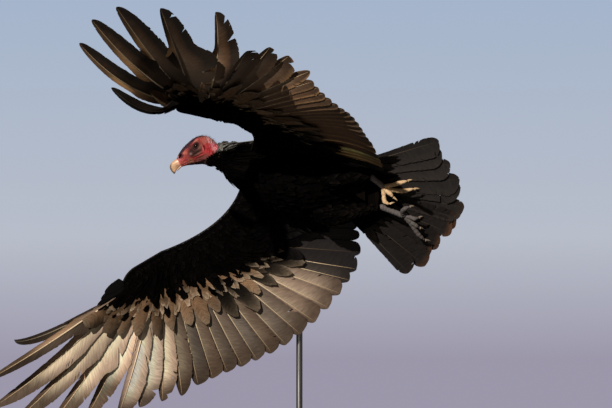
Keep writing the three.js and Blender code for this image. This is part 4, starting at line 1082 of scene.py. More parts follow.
def build_remex(build, wing, spans, number, colour, strips, island):
    """One flight feather: both vanes as strips of barbs, and its quill."""
    kind, digit, left = KINDS[number], number - FIRST_PRIMARY + 1, wing.side == "left"
    t = spans[number]
    before, after = spans[max(number - 1, 0)], spans[min(number + 1, len(spans) - 1)]
    rng = np.random.default_rng(SEEDS["remex"] + 100 * wing.seed + number)
    knots = np.linspace(0, 1, 11)
    near, far = gap_to(wing, t, before, knots), gap_to(wing, t, after, knots)
    if number == 0:
        near = far
    if number == len(spans) - 1:
        far = near
    free = digit >= FIRST_FINGER
    half = PRIMARIES[digit - 1, 2] if digit >= 1 else 0
    inner_cap, outer_cap = (44, 13) if digit < 1 else (56, 15)
    if left and digit in (5, 6):
        inner_cap, outer_cap = 86, 24
    broad = 2.15 if left else (1.0 if digit >= 9 else 1.5)
    twist = -38.0 if free and left else 0.0
    notch = mix(0.70 if left else 0.6, 0.42, (digit - 5) / 5)
    start = {"tertial": 0.88, "secondary": 0.89, "primary": 0.70}[kind]
    blunt = 1.7 if kind == "primary" else 2.5

    def inner(u):
        lap = 1.2 if left and digit == 5 else 0.72 if kind == "tertial" else 0.90
        wide = np.minimum(np.interp(u, knots, near) * lap - 0.3, inner_cap)
        wide = wide * ease(-0.05, 0.16, u)
        if not free:
            return wide * tip_profile(u, start, blunt)
        slim = broad * half * mix(1.15, 0.85, u) * tip_profile(u, 0.52, 2.2)
        return mix(wide, slim, ease(notch - 0.09, notch + 0.03, u))

    def outer(u):
        wide = np.minimum(np.interp(u, knots, far) * 0.42 + 3, outer_cap) * ease(-0.05, 0.16, u)
        if not free:
            return wide * tip_profile(u, start - 0.04, 2.2)
        slim = 0.62 * half * mix(1.15, 0.85, u) * tip_profile(u, 0.5, 2.6)
        if digit == 10:
            wide = np.minimum(wide, 8.0)
        return mix(wide, slim, ease(notch - 0.05, notch + 0.07, u))

    shift = 0.38 * half if free else 0.0
    roll = 4 + rng.normal(0, 1.2)
    rachis = remex_rachis(wing, t, before, shift, roll, notch if free else 2.0)
    drooped = remex_rachis(wing, t, before, shift, roll + twist, notch if free else 2.0)
    look = remex_look(colour, wing, number, math.exp(rng.normal(0, 0.13)), rng)
    count = int(strips * (1.25 if free else 1.0))
    inner_splits, inner_parted = VANE_SPLITS[kind if digit < 7 else "finger"]
    vane(build, rachis, inner, 1, count, look, rng, island, start=0.08, lean=0.10,
         splits=inner_splits, parted=inner_parted, camber=0.05)
    vane(build, drooped, outer, -1, count, look, rng, island, start=0.08, lean=0.09,
         splits=4, parted=0.008, camber=0.03)
    shafts = ((1, 1, 1), (0.42, 0.34, 0.27))
    if kind == "tertial":
        # The left tertials' shafts are painted bright gold as in grazing sunlight, the right ones dark as in
        # shade.
        shafts = ((1.1, 0.85, 0.55), (1.0, 0.68, 0.40)) if left else ((0.10, 0.09, 0.08), (0.04, 0.03, 0.03))
    if digit == 10:
        shafts = ((0.3, 0.3, 0.3), (0.1, 0.1, 0.1))
    shafts = np.array(colour.ivory) * shafts
    quill(build, rachis, 1.55 if digit < 1 else 2.0, shafts, colour.brown, island)


def build_alula(build, wing, t, colour, strips, islands):
    """The alula: stiff dark feathers at the hand's end, in front of the outermost primary."""
    black = np.array(colour.black)
    rng = np.random.default_rng(SEEDS["alula"] + wing.seed)

    def look(u, q, side):
        tone = black * (0.6 + 0 * u[..., None])
        return tone * 2, tone

    def width(u):
        return 10.0 * ease(-0.1, 0.1, u) * tip_profile(u, 0.45, 2.0)

    for number, (reach, aside) in enumerate(ALULA):
        u = np.linspace(0, reach, 30)
        point, along, over = wing.shaft(np.full(30, t), u)
        front = unit(np.cross(along, over))
        places = point + front * aside - over * (1.0 + 0.8 * number)
        rachis = Rachis(wing.world(places), wing.world_way(over), wing.sign, 0.0)
        island = (islands[0] + number, islands[1])
        for side in (1, -1):
            vane(build, rachis, width, side, strips // 2, look, rng, island, start=0.05, lean=0.12,
                 splits=3, parted=0.01)
        quill(build, rachis, 0.8, (black * 2, black * 2), black, island)


def feather_spans():
    """Span of each flight feather: tertials, secondaries and primaries from the body outwards."""
    inner = [0.997 * (k + 0.5) / TERTIALS for k in range(TERTIALS)]
    middle = [1.003 + 0.994 * (k + 0.5) / SECONDARIES for k in range(SECONDARIES)]
    return inner + middle + [2 + at for at in PRIMARIES[:, 0]]


def rectrix_rachis(share, worn=0.0, count=30):
    """The shaft of the tail feather at a share -1..1 of the fan, and its reach less what is worn off."""
    droop, roll = math.radians(TAIL["droop"]), math.radians(TAIL["roll"])
    back = np.array([-math.cos(droop), 0, -math.sin(droop)])
    flat = np.array([-math.sin(droop), 0, math.cos(droop)])
    level = math.cos(roll) * np.array([0, 1.0, 0]) + math.sin(roll) * flat
    over = math.cos(roll) * flat - math.sin(roll) * np.array([0, 1.0, 0])
    angle = math.radians((TAIL["spread"] + TAIL["edge"]) * share)
    out = math.cos(angle) * back + math.sin(angle) * level
    length = mix(TAIL["middle"], TAIL["side"], share * share) - worn
    s = np.linspace(0, 1, count)[:, None]
    sag = TAIL["cup"] * share * share * s + 2.2 * abs(share)
    places = np.array([TAIL["x"], 0, TAIL["z"]]) + mix(TAIL["root"], length, s) * out - sag * over
    ways = np.broadcast_to(over, places.shape)
    sign = 1 if share > 0 else -1
    return Rachis(bird_to_world(places), ways @ BIRD_TURN.T, sign, 5.0), length


def build_rectrix(build, number, colour, strips):
    """One tail feather, its inner vane towards the tail's middle and underneath its neighbour."""
    share = 2 * (number + 0.5) / TAIL["feathers"] - 1
    rng = np.random.default_rng(SEEDS["rectrix"] + number)
    bunched = (0.0, 0.028, -0.028)[number % 3]
    aside = (bunched + rng.uniform(-0.045, 0.045)) * (0 < number < TAIL["feathers"] - 1)
    rachis, length = rectrix_rachis(share + aside, rng.uniform(0, 18) + 9 * ease(-0.1, 0.6, share))
    pace = 2 * math.radians(TAIL["spread"] + TAIL["edge"]) / TAIL["feathers"] * length
    dark, brown = np.array(colour.black) * 5, np.array(colour.worn) * (0.19, 0.21, 0.30)
    tone = math.exp(rng.normal(0, 0.15))

    def look(u, q, side):
        low = mix(dark, brown, (0.35 + 0.5 * ease(0.5, 1, q))[..., None] + 0 * u[..., None])
        end = ease(0.93, 1.0, u + 0.02 * q)[..., None] * ease(0.2, -0.2, share) * ease(-1.0, -0.6, share)
        low = mix(low, np.array((0.085, 0.040, 0.022)), 0.6 * end)
        top = mix(dark, brown, (0.5 * ease(0.6, 1, q))[..., None] + 0 * u[..., None])
        return top * tone, low * tone

    def widths(factor):
        def width(u):
            return factor * pace * (0.42 + 0.58 * u) * ease(-0.1, 0.1, u) * tip_profile(u, 0.88, 2.0)
        return width

    island = (number, TAIL["feathers"])
    vane(build, rachis, widths(1.15), 1, strips, look, rng, island, start=0.0, lean=0.10, splits=8,
         parted=0.014, fray=0.008)
    vane(build, rachis, widths(0.52), -1, strips, look, rng, island, start=0.0, lean=0.08, splits=6,
         parted=0.014, fray=0.007)
    shafts = np.array(colour.ivory) * ((0.10, 0.09, 0.09), (0.04, 0.035, 0.035))
    quill(build, rachis, 1.0, shafts, colour.brown, island)


# ---------------- coverts and contour feathers
SKIN_CHARTS = {
    "body": (0.0, 0.0, 1.0, 0.5), "left": (0.0, 0.51, 0.49, 0.75), "right": (0.51, 0.51, 1.0, 0.75),
    "limbs": (0.0, 0.76, 1.0, 1.0),
}


def half_chart(side, under):
    """The part of the skin's unwrap that belongs to one face of a wing."""
    u0, v0, u1, v1 = SKIN_CHARTS[side]
    middle = (v0 + v1) / 2
    return (u0, v0, u1, middle) if under else (u0, middle, u1, v1)


def feather_row(build, surface, at, rng, spacing, span, spread, size, lift, look, low=-np.inf, **more):
    """One row of small feathers along the line p = at, each moved off it by a normal scatter.

    span is (first q, last q, offset), size is (length, width), and look may depend on q."""
    q = surface.row(at, spacing, rng, *span)
    p = np.maximum(at + rng.normal(0, spread, len(q)), low)
    leaves(build, surface, p, q, *size, lift, look(q) if callable(look) else look, rng, **more)


def build_coverts(build, wing, under, colour, rng):
    """The rows of small feathers on one face of a wing, from the front edge back over the quills."""
    surface = wing.surface(under)
    chart = half_chart(wing.side, under)
    black, brown, tan, worn = shades(colour, "black", "brown", "vane", "worn")
    rust = np.array((0.15, 0.092, 0.056))

    def looks(t, kind):
        """Colours of a row under the wing: black near the body, rust and black, then tan at the hand."""
        patch = noise(np.stack([t * 13, 0 * t + 3], -1), 1.0, 50 + wing.seed) + rng.normal(0, 0.35, len(t))
        outer = ease(1.75, 2.05, t)[:, None]
        blackened = patch[:, None] > (0.05 if kind == "median" else 0.3)
        dark = mix(rust * np.exp(0.45 * patch)[:, None], black * 2, blackened)
        dark = mix(dark, rust * 0.8, outer * (0.9 if kind == "greater" else 0.5))
        reach = ease(*((0.95, 1.35) if wing.side == "right" else (0.7, 1.15)), t + 0.25 * patch)[:, None]
        dark = mix(black * 2, dark, reach)
        pale = mix(dark, tan * 0.32 if kind == "greater" else tan * 0.75, 0.7)
        return dark, mix(black * 4, pale, reach), 0.30

    def look_of(kind):
        return (lambda q: looks(q, kind)) if under else (black * 2.4, worn * 0.35, 0.2)

    # Greater coverts: the longest, lying on the flight feathers.
    for v, spacing, span, spread, size, lift, scatter in (
            (0.68, 22.0, (0.05, 1.97), 0.025, (92, 42), 4.0, 5.0),
            (0.62, 24.0, (2.0, 2.93), 0.03, (104, 54), 4.5, 3.0)):
        feather_row(build, surface, v, rng, spacing, span, spread, size, lift, look_of("greater"),
                    chart=chart, rows=9, columns=7, point=0.17, taper=0.14, scatter=scatter, ragged=0.015)
    # Median coverts.
    for v in (0.74, 0.66):
        feather_row(build, surface, v, rng, 12.0, (0.03, 2.95), 0.035, (52, 25), 4.5, look_of("median"),
                    chart=chart, rows=6, point=0.2, taper=0.2, scatter=9)
    # Lesser coverts: black rows that grow smaller towards the front edge.
    lining = (black, brown * 0.6, 0.30) if under else (black * 2.0, worn * 0.28, 0.25)
    for v in np.linspace(0.64, 0.02, 13):
        size = mix(0.62, 1.0, ease(0.0, 0.6, v))
        feather_row(build, surface, v, rng, 11.5 * size, (0.02, 2.97, rng.uniform(-0.4, 0.4)), 0.012,
                    (33 * size, 20 * size), 3.6, lining, low=0.0, chart=chart, scatter=9)
    if under:
        q = surface.row(0.74, 22.0, rng, 0.03, 2.9)
        p = 0.72 + rng.uniform(-0.08, 0.05, len(q))
        leaves(build, surface, p, q, rng.uniform(34, 52, len(q)), 30, 5.5, lining, rng, chart=chart, rows=6,
               point=0.18, taper=0.2)
        # Dark feathers over the hand's end, down to the root of the outermost primary.
        for v, length, width in ((0.28, 32, 15), (0.16, 38, 17), (0.04, 66, 22)):
            q = surface.row(v, 6.0, rng, 2.6, 2.98)
            leaves(build, surface, np.full(len(q), v), q, length, width, 3.5, lining, rng, chart=chart,
                   scatter=5)
        # Axillaries: long black feathers at the wing's root.
        for v in (0.5, 0.7, 0.9):
            feather_row(build, surface, v, rng, 14.0, (0.02, 0.62), 0.03, (84, 30), 6.0,
                        (black * 2, black * 4, 0.3), chart=chart, rows=8, point=0.16, taper=0.2)


def build_edge_coverts(build, wing, colour, rng):
    """Small feathers that wrap the wing's front edge, from the upper face round to the lower."""
    black, brown = shades(colour, "black", "brown")
    for under in (False, True):
        surface, chart = wing.surface(under), half_chart(wing.side, under)
        for v in (0.0, 0.006):
            feather_row(build, surface, v, rng, 7.5, (0.02, 2.97, rng.uniform(-0.4, 0.4)), 0.002, (22, 13),
                        2.6, (black, brown * 1.2, 0.25), low=0.0, chart=chart, sink=0.2)


def build_contours(build, surface, plumage, rng):
    """Overlapping feathers over the neck and trunk, growing from the ruff to the rump."""
    black, brown, worn = shades(plumage, "black", "brown", "worn")
    chart = SKIN_CHARTS["body"]
    s = 1.05
    row = 0
    while s < 2.985:
        neck = 1 - ease(1.7, 2.15, s)
        length = mix(plumage.contour_length, 26.0, neck) * mix(1.0, 1.25, ease(2.6, 3.0, s))
        width = mix(plumage.contour_width, 11.0, neck)
        q = surface.row(s, width * 0.62, rng, offset=0.5 * (row % 2))
        lift = mix(9.5, 8.0, neck) * (1 - 0.7 * ease(-0.2, -0.8, np.sin(q)) * ease(2.3, 1.8, s))
        lift = lift + 3.0 * ease(1.2, 1.4, s) * ease(2.2, 1.8, s) * ease(0.3, 0.9, np.sin(q))
        p = np.full(len(q), s) + rng.normal(0, 0.012, len(q))
        back = ease(0.0, 0.6, np.sin(q))[:, None]
        edge = mix(brown * 0.45, worn * 0.3, back * (1 - neck))
        begin = mix(0.1, 0.45, ease(1.1, 2.1, s))
        # grey is a painted sheen: the sky's light on the upper side of the neck's feathers.
        grey = 0.95 * (1 - ease(2.0, 2.4, s)) * ease(begin, begin + 0.25, np.sin(q))[:, None]
        dull = (mix(mix(black, black * 2.5, back), NECK_TOP_SHEEN * 0.8, grey), mix(edge, NECK_TOP_SHEEN, grey), 0.28)
        leaves(build, surface, p, q, length, width, lift, dull, rng, chart=chart,
               point=mix(0.32, 0.6, neck), taper=mix(0.3, 0.6, neck), scatter=7)
        pace = np.median(surface.look_up(np.full(40, s), np.linspace(0, 6.28, 40))[:, 6])
        s += mix(length * 0.34, length * 0.3, neck) / pace
        row += 1
    # Long feathers along both flanks, over the roots of the wings and the tail.
    for s, lift in ((2.36, 14), (2.46, 20), (2.56, 28), (2.66, 30)):
        for low, high in ((-0.45, 1.0), (math.pi - 1.0, math.pi + 0.3)):
            feather_row(build, surface, s, rng, 15.0, (low, high), 0.02, (108, 38), lift,
                        (black * 1.5, brown, 0.25), chart=chart, rows=8, point=0.16, taper=0.2, scatter=6)


def build_ruff(build, surface, colour, rng):
    """Short pointed feathers of the throat, then a collar of longer ones where the bare skin ends."""
    black, brown = shades(colour, "black", "brown")
    for s in np.linspace(0.60, 0.97, 17):
        q = surface.row(s, 4.6, rng)
        q = q[np.sin(q) < 0.5]
        p = s + rng.uniform(-0.012, 0.012, len(q))
        x, _, z = head_local(surface.look_up(p, q)[:, :3]).T
        kept = z < feather_line(x) - 0.5
        q, p = q[kept], p[kept]
        hang = 8.5 * ease(0.80, 0.97, s) * ease(-0.3, -0.9, np.sin(q))
        leaves(build, surface, p, q, 11.0 + 0.6 * hang, 5.0, 1.8 + hang, (black * 1.1, brown * 0.5, 0.35),
               rng, chart=SKIN_CHARTS["body"], point=0.8, taper=0.75, scatter=9, sink=0.3, thick=0.3,
               ragged=0.02)
    for s, length, lift in ((1.0, 16, 3.2), (1.06, 22, 5), (1.14, 28, 8), (1.24, 32, 10)):
        q = surface.row(s, 5.2, rng)
        p = s + rng.uniform(-0.035, 0.035, len(q))
        low = ease(-0.2, -0.8, np.sin(q))
        full = mix(0.75, mix(2.4, 0.3, ease(1.0, 1.16, s)), low)
        # grey is a painted sheen: the sky's light on the upper side of the collar.
        grey = ease(0.1, 0.4, np.sin(q))[:, None]
        dark, edge = mix(black * 1.5, NECK_TOP_SHEEN * 0.7, grey), mix(brown * 0.4, NECK_TOP_SHEEN, grey)
        leaves(build, surface, p, q, length, 8.5, lift * full, (dark, edge, 0.35), rng,
               chart=SKIN_CHARTS["body"], point=0.7, taper=0.6, scatter=6, ragged=0.02)


def tail_surface(under):
    """The face of the tail fan nearest the body, for its coverts, falling away from the rump."""
    share = np.linspace(-0.98, 0.98, 25)
    radius = np.linspace(30, 250, 23)
    depth = np.interp(radius, (30, 110, 170, 250), (20, 15, 7, 3.0))[:, None, None]
    sets = []
    for k in share:
        rachis, length = rectrix_rachis(k)
        u = (radius - TAIL["root"]) / (length - TAIL["root"])
        spot, along, over, _ = rachis.at(np.clip(u, 0, 1))
        spot = spot + along * np.minimum(radius - TAIL["root"], 0)[:, None]
        sets.append(np.stack([spot, over], 0))
    spot, over = np.moveaxis(np.stack(sets, 2), 0, 0)
    way = -over if under else over
    return Surface(radius, share, spot + way * depth, way)


def build_tail_coverts(build, colour, rng):
    """Feathers over the tail's root: long ones lying on the quills, shorter ones over them."""
    black, brown = shades(colour, "black", "brown")
    for under in (False, True):
        surface = tail_surface(under)
        for radius, length, width in ((112, 88, 30), (92, 80, 28), (70, 74, 28), (50, 66, 26), (34, 56, 24)):
            feather_row(build, surface, radius, rng, width * 0.55, (), 5, (length, width), 5,
                        (black * 1.1, brown * 0.9, 0.25), chart=SKIN_CHARTS["body"], rows=7, point=0.25,
                        taper=0.3, scatter=6)


# ---------------- legs
def thigh_surface(side):
    """The thigh's skin as a surface for feathers, p in millimetres down the leg."""
    stops = np.array(LEGS[side]["thigh"], float)
    centre, radius, out, s = tube(stops[:, :3], stops[:, 3] - COAT["thigh"], 26, 24)
    radius = radius * np.sqrt(1 - 0.995 * np.clip(1 - s / 34, 0, 1) ** 2)
    angle = np.arange(24) * 2 * np.pi / 24
    places = bird_to_world(centre[:, None] + out * radius[:, None, None])
    return Surface(s, angle, places, out @ BIRD_TURN.T, around=True), centre, radius, out


# Colours of each foot's toes and shank, and of its claws, with light and shade painted in: the left toes and
# claws bright as in sunlight, the left shank and the whole right foot dark as in shade.
FOOT_TONES = {
    "left": ((0.50, 0.36, 0.22), (0.15, 0.135, 0.145)),
    "right": ((0.080, 0.072, 0.074), (0.092, 0.084, 0.088)),
}
CLAW_TONES = {"left": (0.52, 0.38, 0.23), "right": (0.22, 0.18, 0.15)}


def foot_tubes(side):
    """The shank and four toes: rings with scutes in front and pads below, as (places, tint) pairs."""
    leg = LEGS[side]
    ankle, ball = np.array(leg["ankle"], float), np.array(leg["ball"], float)
    # Toes and shank take the foot's painted tones: sunlit on the left, shaded on the right.
    warm, grey = np.array(FOOT_TONES[side])
    runs = [((ankle, mix(ankle, ball, 0.5), ball), (7.4, 6.0, 6.8), 72, grey)]
    for base, bend, root, _ in leg["toes"]:
        runs.append(((ball, base, bend, root), (6.0, 4.5, 4.8, 3.1), 72, warm))
    found = []
    for stops, radii, rings, tone in runs:
        centre, radius, out, s = tube(stops, radii, rings, 28)
        down = np.linspace(0, 1, 28, endpoint=False) * 2 * np.pi
        top = ease(-0.2, 0.7, np.sin(down))[None, :]
        step = (s / 3.1)[:, None] + 0.18 * np.cos(down)[None, :]
        part = step % 1.0
        scute = (1 - (2 * part - 1) ** 6) * 0.42 - 0.2
        pad = (0.7 if tone is warm else 0.2) * np.abs(np.sin(np.pi * (s / 9.5)))[:, None] - 0.3
        cells = 0.35 * noise(np.stack([s[:, None] + 0 * down, 0 * s[:, None] + 4.2 * down], -1), 1.5, 31)
        relief = top * scute + (1 - top) * (pad + cells)
        ends = np.clip(1 - (s / s[-1]) ** 14, 0.1, 1) * (1 - 0.98 * np.clip(1 - s / 9, 0, 1) ** 2)
        radius = radius[:, None] * np.sqrt(ends)[:, None]
        places = centre[:, None] + out * (radius + relief)[..., None]
        crack = np.exp(-(part / 0.09) ** 2) + np.exp(-((part - 1.0) / 0.09) ** 2)
        shade = 1 - 0.5 * top * crack + 0.25 * cells * (1 - top)
        found.append((places, tone * shade[..., None]))
    return found


def build_thigh_feathers(build, side, colour, rng):
    """Soft feathers down the thigh to the ankle."""
    surface = thigh_surface(side)[0]
    black, brown = shades(colour, "black", "brown")
    for s in np.arange(1, surface.p[-1] - 5, 9.0):
        small = mix(1.0, 0.5, ease(0.5, 1.0, s / surface.p[-1]))
        feather_row(build, surface, s, rng, 10 * small, (), 1.5, (32 * small, 15 * small), 5.0,
                    (black, brown, 0.3), chart=SKIN_CHARTS["limbs"], scatter=10)


# ---------------- bill, eyes, claws and bristles
def head_rings(tops, lows, widths, sides, power=HEAD_POWER):
    """Rings of the bill: each between a top and a low point of the head's side view."""
    top = np.stack([tops[:, 0], 0 * widths, tops[:, 1]], -1)
    low = np.stack([lows[:, 0], 0 * widths, lows[:, 1]], -1)
    c, n = ring_circle(sides, power)
    across = np.stack([0 * widths, widths, 0 * widths], -1)
    return (top + low)[:, None] / 2 + c[:, None] * across[:, None] + n[:, None] * (top - low)[:, None] / 2


def upper_bill(rings=56, sides=40):
    """The upper bill: its ridge bows forward as a sine and down as s^2.4, its edge drops into the hook."""
    s = np.linspace(0, 1, rings)
    turn = s * np.pi * BILL["bend"]
    root = HEAD_SLICES[0]
    back = BILL["root"] - 1.5
    tops = np.stack([mix(back, BILL["front"], np.sin(turn)), mix(root[1], BILL["tip_drop"], s ** 2.4)], -1)
    lows = np.stack([mix(back, BILL["tip_forward"] - 1, s ** 1.3),
                     mix(BILL["gape_drop"], BILL["tip_drop"] + 0.8, s ** 2.4)], -1)
    width = mix(root[4] + 0.35, 1.0, s ** 1.4)
    places = head_rings(tops, lows, width, sides)
    ridge = np.exp(-(places[..., 1] / 2.6) ** 2) * (places[..., 2] > lows[:, None, 1] + 3)
    places[..., 0] += 0.35 * ridge * np.sin(turn)[:, None]
    places[..., 2] += 0.45 * ridge * np.cos(turn)[:, None]
    lip = np.exp(-((places[..., 2] - lows[:, None, 1]) / 1.3) ** 2) * (1 - s[:, None]) * 0.35
    places[..., 1] *= 1 + lip / 6
    return places, s


def bill_tint(places, s, colour, ridged):
    """Ivory horn: pink at the root, with a brown front edge and a dark tip, and faint growth lines."""
    x, y, z = np.moveaxis(places, -1, 0)
    tint = np.broadcast_to(np.array(colour.horn), places.shape).copy()
    lines = noise(np.stack([s[:, None] * 26 + 0 * y, y * 0.25, z * 0.12], -1), 1.0, 41)
    tint *= (1 + 0.10 * lines)[..., None]
    paint = painter(tint)
    paint((0.62, 0.33, 0.25), ease(66.5, 60, x) * 0.85)
    if ridged:
        ridge = np.interp(-z, -z[:, 10], x[:, 10])
        front = ease(5.6, 1.6, ridge - x + 0.6 * lines) * ease(12, 4, z)
        paint((0.085, 0.058, 0.040), 0.88 * front)
    paint((0.20, 0.09, 0.045), 0.8 * spot(x, z, (67, -1.6), (2.2, 1.2), 20))
    paint((0.05, 0.032, 0.024), ease(-9.0, -12.8, z) * ease(70, 75, x) * 0.9)
    return np.clip(tint, 0.01, 0.95)


def lower_bill(rings=30, sides=32):
    """The lower bill, a scoop that closes inside the upper one."""
    s = np.linspace(0, 1, rings)
    x = mix(BILL["root"] - 1.5, BILL["lower_end"], s)
    tops = np.stack([x, mix(BILL["gape_drop"], BILL["gape_drop"] - 4.5, s * s) - 0.4], -1)
    lows = np.stack([x, mix(HEAD_SLICES[0, 3] + 0.1, BILL["gape_drop"] - 6.5, s ** 0.9)], -1)
    return head_rings(tops, lows, mix(5.6, 1.4, s ** 1.6), sides), s


def build_lids(build, side):
    """Two rims of skin round the eye's almond opening, laid on the eyeball."""
    around = np.linspace(0, 2 * np.pi, 72, endpoint=False)
    for grow, thick, tone in ((1.0, 0.62, (0.012, 0.005, 0.005)), (1.22, 0.7, (0.040, 0.016, 0.014))):
        x = 5.1 * grow * np.cos(around)
        z = 3.9 * grow * np.sin(around) * (1 - 0.12 * np.cos(around)) - 0.18 * x
        ball = EYE["radius"] + 0.25
        y = EYE["out"] + np.sqrt(np.clip(ball ** 2 - x * x - z * z, 0.5, None))
        centre = np.stack([EYE["forward"] + x, side * y, EYE["up"] + z], -1)
        along = unit(np.roll(centre, -1, 0) - np.roll(centre, 1, 0))
        out = unit(centre - (EYE["forward"], side * EYE["out"], EYE["up"]))
        across = np.cross(along, out)
        c, n = ring_circle(8)
        radius = thick * (1 + 0.12 * np.sin(around * 9))[:, None, None]
        rings = centre[:, None] + radius * (out[:, None] * c[:, None] + across[:, None] * n[:, None])
        r, s = np.meshgrid(np.arange(72), np.arange(8), indexing="ij")
        a, b = r * 8 + s, r * 8 + (s + 1) % 8
        up = ((r + 1) % 72) * 8
        faces = np.stack([a, b, up + (s + 1) % 8, up + s], -1).reshape(-1, 4)
        build.add(head_to_world(rings), faces, np.array(tone), bake=np.full((72 * 8, 2), 0.99))


def eye_ball(side, rings=64, sides=64):
    """The eyeball as a sphere about its outward pole, with its iris and pupil as colours."""
    polar = np.linspace(0.012, np.pi - 0.012, rings)
    c, n = ring_circle(sides)
    r = EYE["radius"] * np.sin(polar)
    bulge = EYE["radius"] * (np.cos(polar) + 0.07 * np.exp(-(polar / 0.5) ** 2))
    ring = np.stack([r[:, None] * c, side * bulge[:, None] + 0 * c, r[:, None] * n], -1)
    places = ring + (EYE["forward"], side * EYE["out"], EYE["up"])
    grain = noise(np.stack([8 * c + 0 * r[:, None], 8 * n + 0 * r[:, None], r[:, None] + 0 * c], -1), 1.0, 43)
    iris = np.array((0.011, 0.003, 0.003)) * (1 + 0.5 * grain[..., None])
    tint = mix(np.array((0.002, 0.002, 0.002)), iris, ease(0.27, 0.31, polar)[:, None, None])
    return places, mix(tint, np.array((0.012, 0.006, 0.005)), ease(0.56, 0.64, polar)[:, None, None])


def claw_rings(toe, rings=26, sides=16):
    """A claw: a cone whose middle line is a parabola from the toe's end over an arch to the tip."""
    root, tip = np.array(toe[2], float), np.array(toe[3], float)
    along = unit(tip - root)
    start = root + (0.4 + CLAW_RADIUS) * along - 0.8 * along
    arch = (start + tip) / 2 + (0, 0, 2.4)
    s = np.linspace(0, 1, rings)[:, None]
    centre = (1 - s) ** 2 * start + 2 * s * (1 - s) * arch + s * s * tip
    way = unit(np.gradient(centre, axis=0))
    across = unit(np.cross((0, 0, 1.0), way))
    up = np.cross(way, across)
    radius = CLAW_RADIUS * np.clip(1 - s, 0, 1) ** 0.62 + 0.25
    c, n = ring_circle(sides)
    flat = np.where(n < 0, 0.8, 1.0)
    return (centre[:, None] + radius[:, None] * (0.86 * across[:, None] * c[:, None]
                                                 + up[:, None] * (n * flat)[:, None])), s[:, 0]


def spikes(build, roots, ways, length, radius, tone, droop):
    """Thin bristles: four-sided, tapering, each bent by droop over its length."""
    n = len(roots)
    s = np.array([0, 0.5, 1.0])[None, :, None]
    length = np.broadcast_to(length, n)[:, None, None]
    centre = roots[:, None] + ways[:, None] * length * s + droop[:, None] * length * s * s
    side = unit(np.cross(ways, (0.3, 0.2, 0.9)))
    other = np.cross(ways, side)
    c, m = ring_circle(4)
    size = radius * (1 - 0.9 * s[..., None])
    ring = side[:, None, None] * c[:, None] + other[:, None, None] * m[:, None]
    verts = centre[:, :, None] + size * ring
    faces = shell_faces(3, 4)
    index = faces[None] + (np.arange(n) * 12)[:, None, None]
    bake = np.broadcast_to(np.array((0.98, 0.98)), (n * 12, 2))
    build.add(verts, index, np.broadcast_to(np.asarray(tone, float), (n * 12, 3)), bake)


# ---------------- materials
class Nodes:
    """Short hands for making and wiring the nodes of one tree."""

    def __init__(self, tree):
        self.tree = tree

    def add(self, kind, **values):
        node = self.tree.nodes.new(kind)
        for name, value in values.items():
            setattr(node, name, value)
        return node

    def wire(self, start, end):
        self.tree.links.new(start, end)

    def range(self, value, low, high, to_low, to_high):
        """A value moved from one range to another, held at the ends."""
        node = self.add("ShaderNodeMapRange")
        for name, number in (("From Min", low), ("From Max", high), ("To Min", to_low), ("To Max", to_high)):
            node.inputs[name].default_value = number
        self.wire(value, node.inputs["Value"])
        return node.outputs["Result"]

    def scale(self, vector, amounts):
        """A vector times fixed amounts."""
        node = self.add("ShaderNodeVectorMath", operation="MULTIPLY")
        node.inputs[1].default_value = amounts
        self.wire(vector, node.inputs[0])
        return node.outputs["Vector"]

    def noise(self, vector, scale, detail=2.0):
        node = self.add("ShaderNodeTexNoise")
        node.inputs["Detail"].default_value = detail
        self.wire(vector, node.inputs["Vector"])
        if isinstance(scale, float):
            node.inputs["Scale"].default_value = scale
        else:
            self.wire(scale, node.inputs["Scale"])
        return node.outputs["Fac"]

    def shade(self, colour, factor):
        """A colour times a grey factor."""
        node = self.add("ShaderNodeVectorMath", operation="SCALE")
        self.wire(colour, node.inputs[0])
        self.wire(factor, node.inputs["Scale"])
        return node.outputs["Vector"]


def node_group(name, inputs, outputs):
    """A new node group with named sockets, and its nodes, its input node and its output node."""
    group = bpy.data.node_groups.new(name, "ShaderNodeTree")
    for label, kind, default in inputs:
        socket = group.interface.new_socket(name=label, in_out="INPUT", socket_type=kind)
        if default is not None:
            socket.default_value = default
    for label, kind in outputs:
        group.interface.new_socket(name=label, in_out="OUTPUT", socket_type=kind)
    nodes = Nodes(group)
    return group, nodes, nodes.add("NodeGroupInput"), nodes.add("NodeGroupOutput")


def barb_group():
    """Barbs of a vane: noise drawn out along them, as a shade of the colour and a height."""
    group, nodes, given, result = node_group(
        "barb streaks",
        (("Vector", "NodeSocketVector", None), ("Fineness", "NodeSocketFloat", 1.0),
         ("Contrast", "NodeSocketFloat", 0.3)),
        (("Shade", "NodeSocketFloat"), ("Height", "NodeSocketFloat")),
    )
    fine = nodes.noise(nodes.scale(given.outputs["Vector"], (2.2, 0.09, 1)), given.outputs["Fineness"], 3.0)
    broad = nodes.noise(nodes.scale(given.outputs["Vector"], (0.22, 0.05, 1)), given.outputs["Fineness"], 2.0)
    both = nodes.add("ShaderNodeMath", operation="ADD")
    nodes.wire(fine, both.inputs[0])
    nodes.wire(broad, both.inputs[1])
    centred = nodes.range(both.outputs[0], 0.7, 1.3, -1.0, 1.0)
    shade = nodes.add("ShaderNodeMath", operation="MULTIPLY_ADD")
    nodes.wire(centred, shade.inputs[0])
    nodes.wire(given.outputs["Contrast"], shade.inputs[1])
    shade.inputs[2].default_value = 1.0
    nodes.wire(shade.outputs[0], result.inputs["Shade"])
    nodes.wire(fine, result.inputs["Height"])
    return group


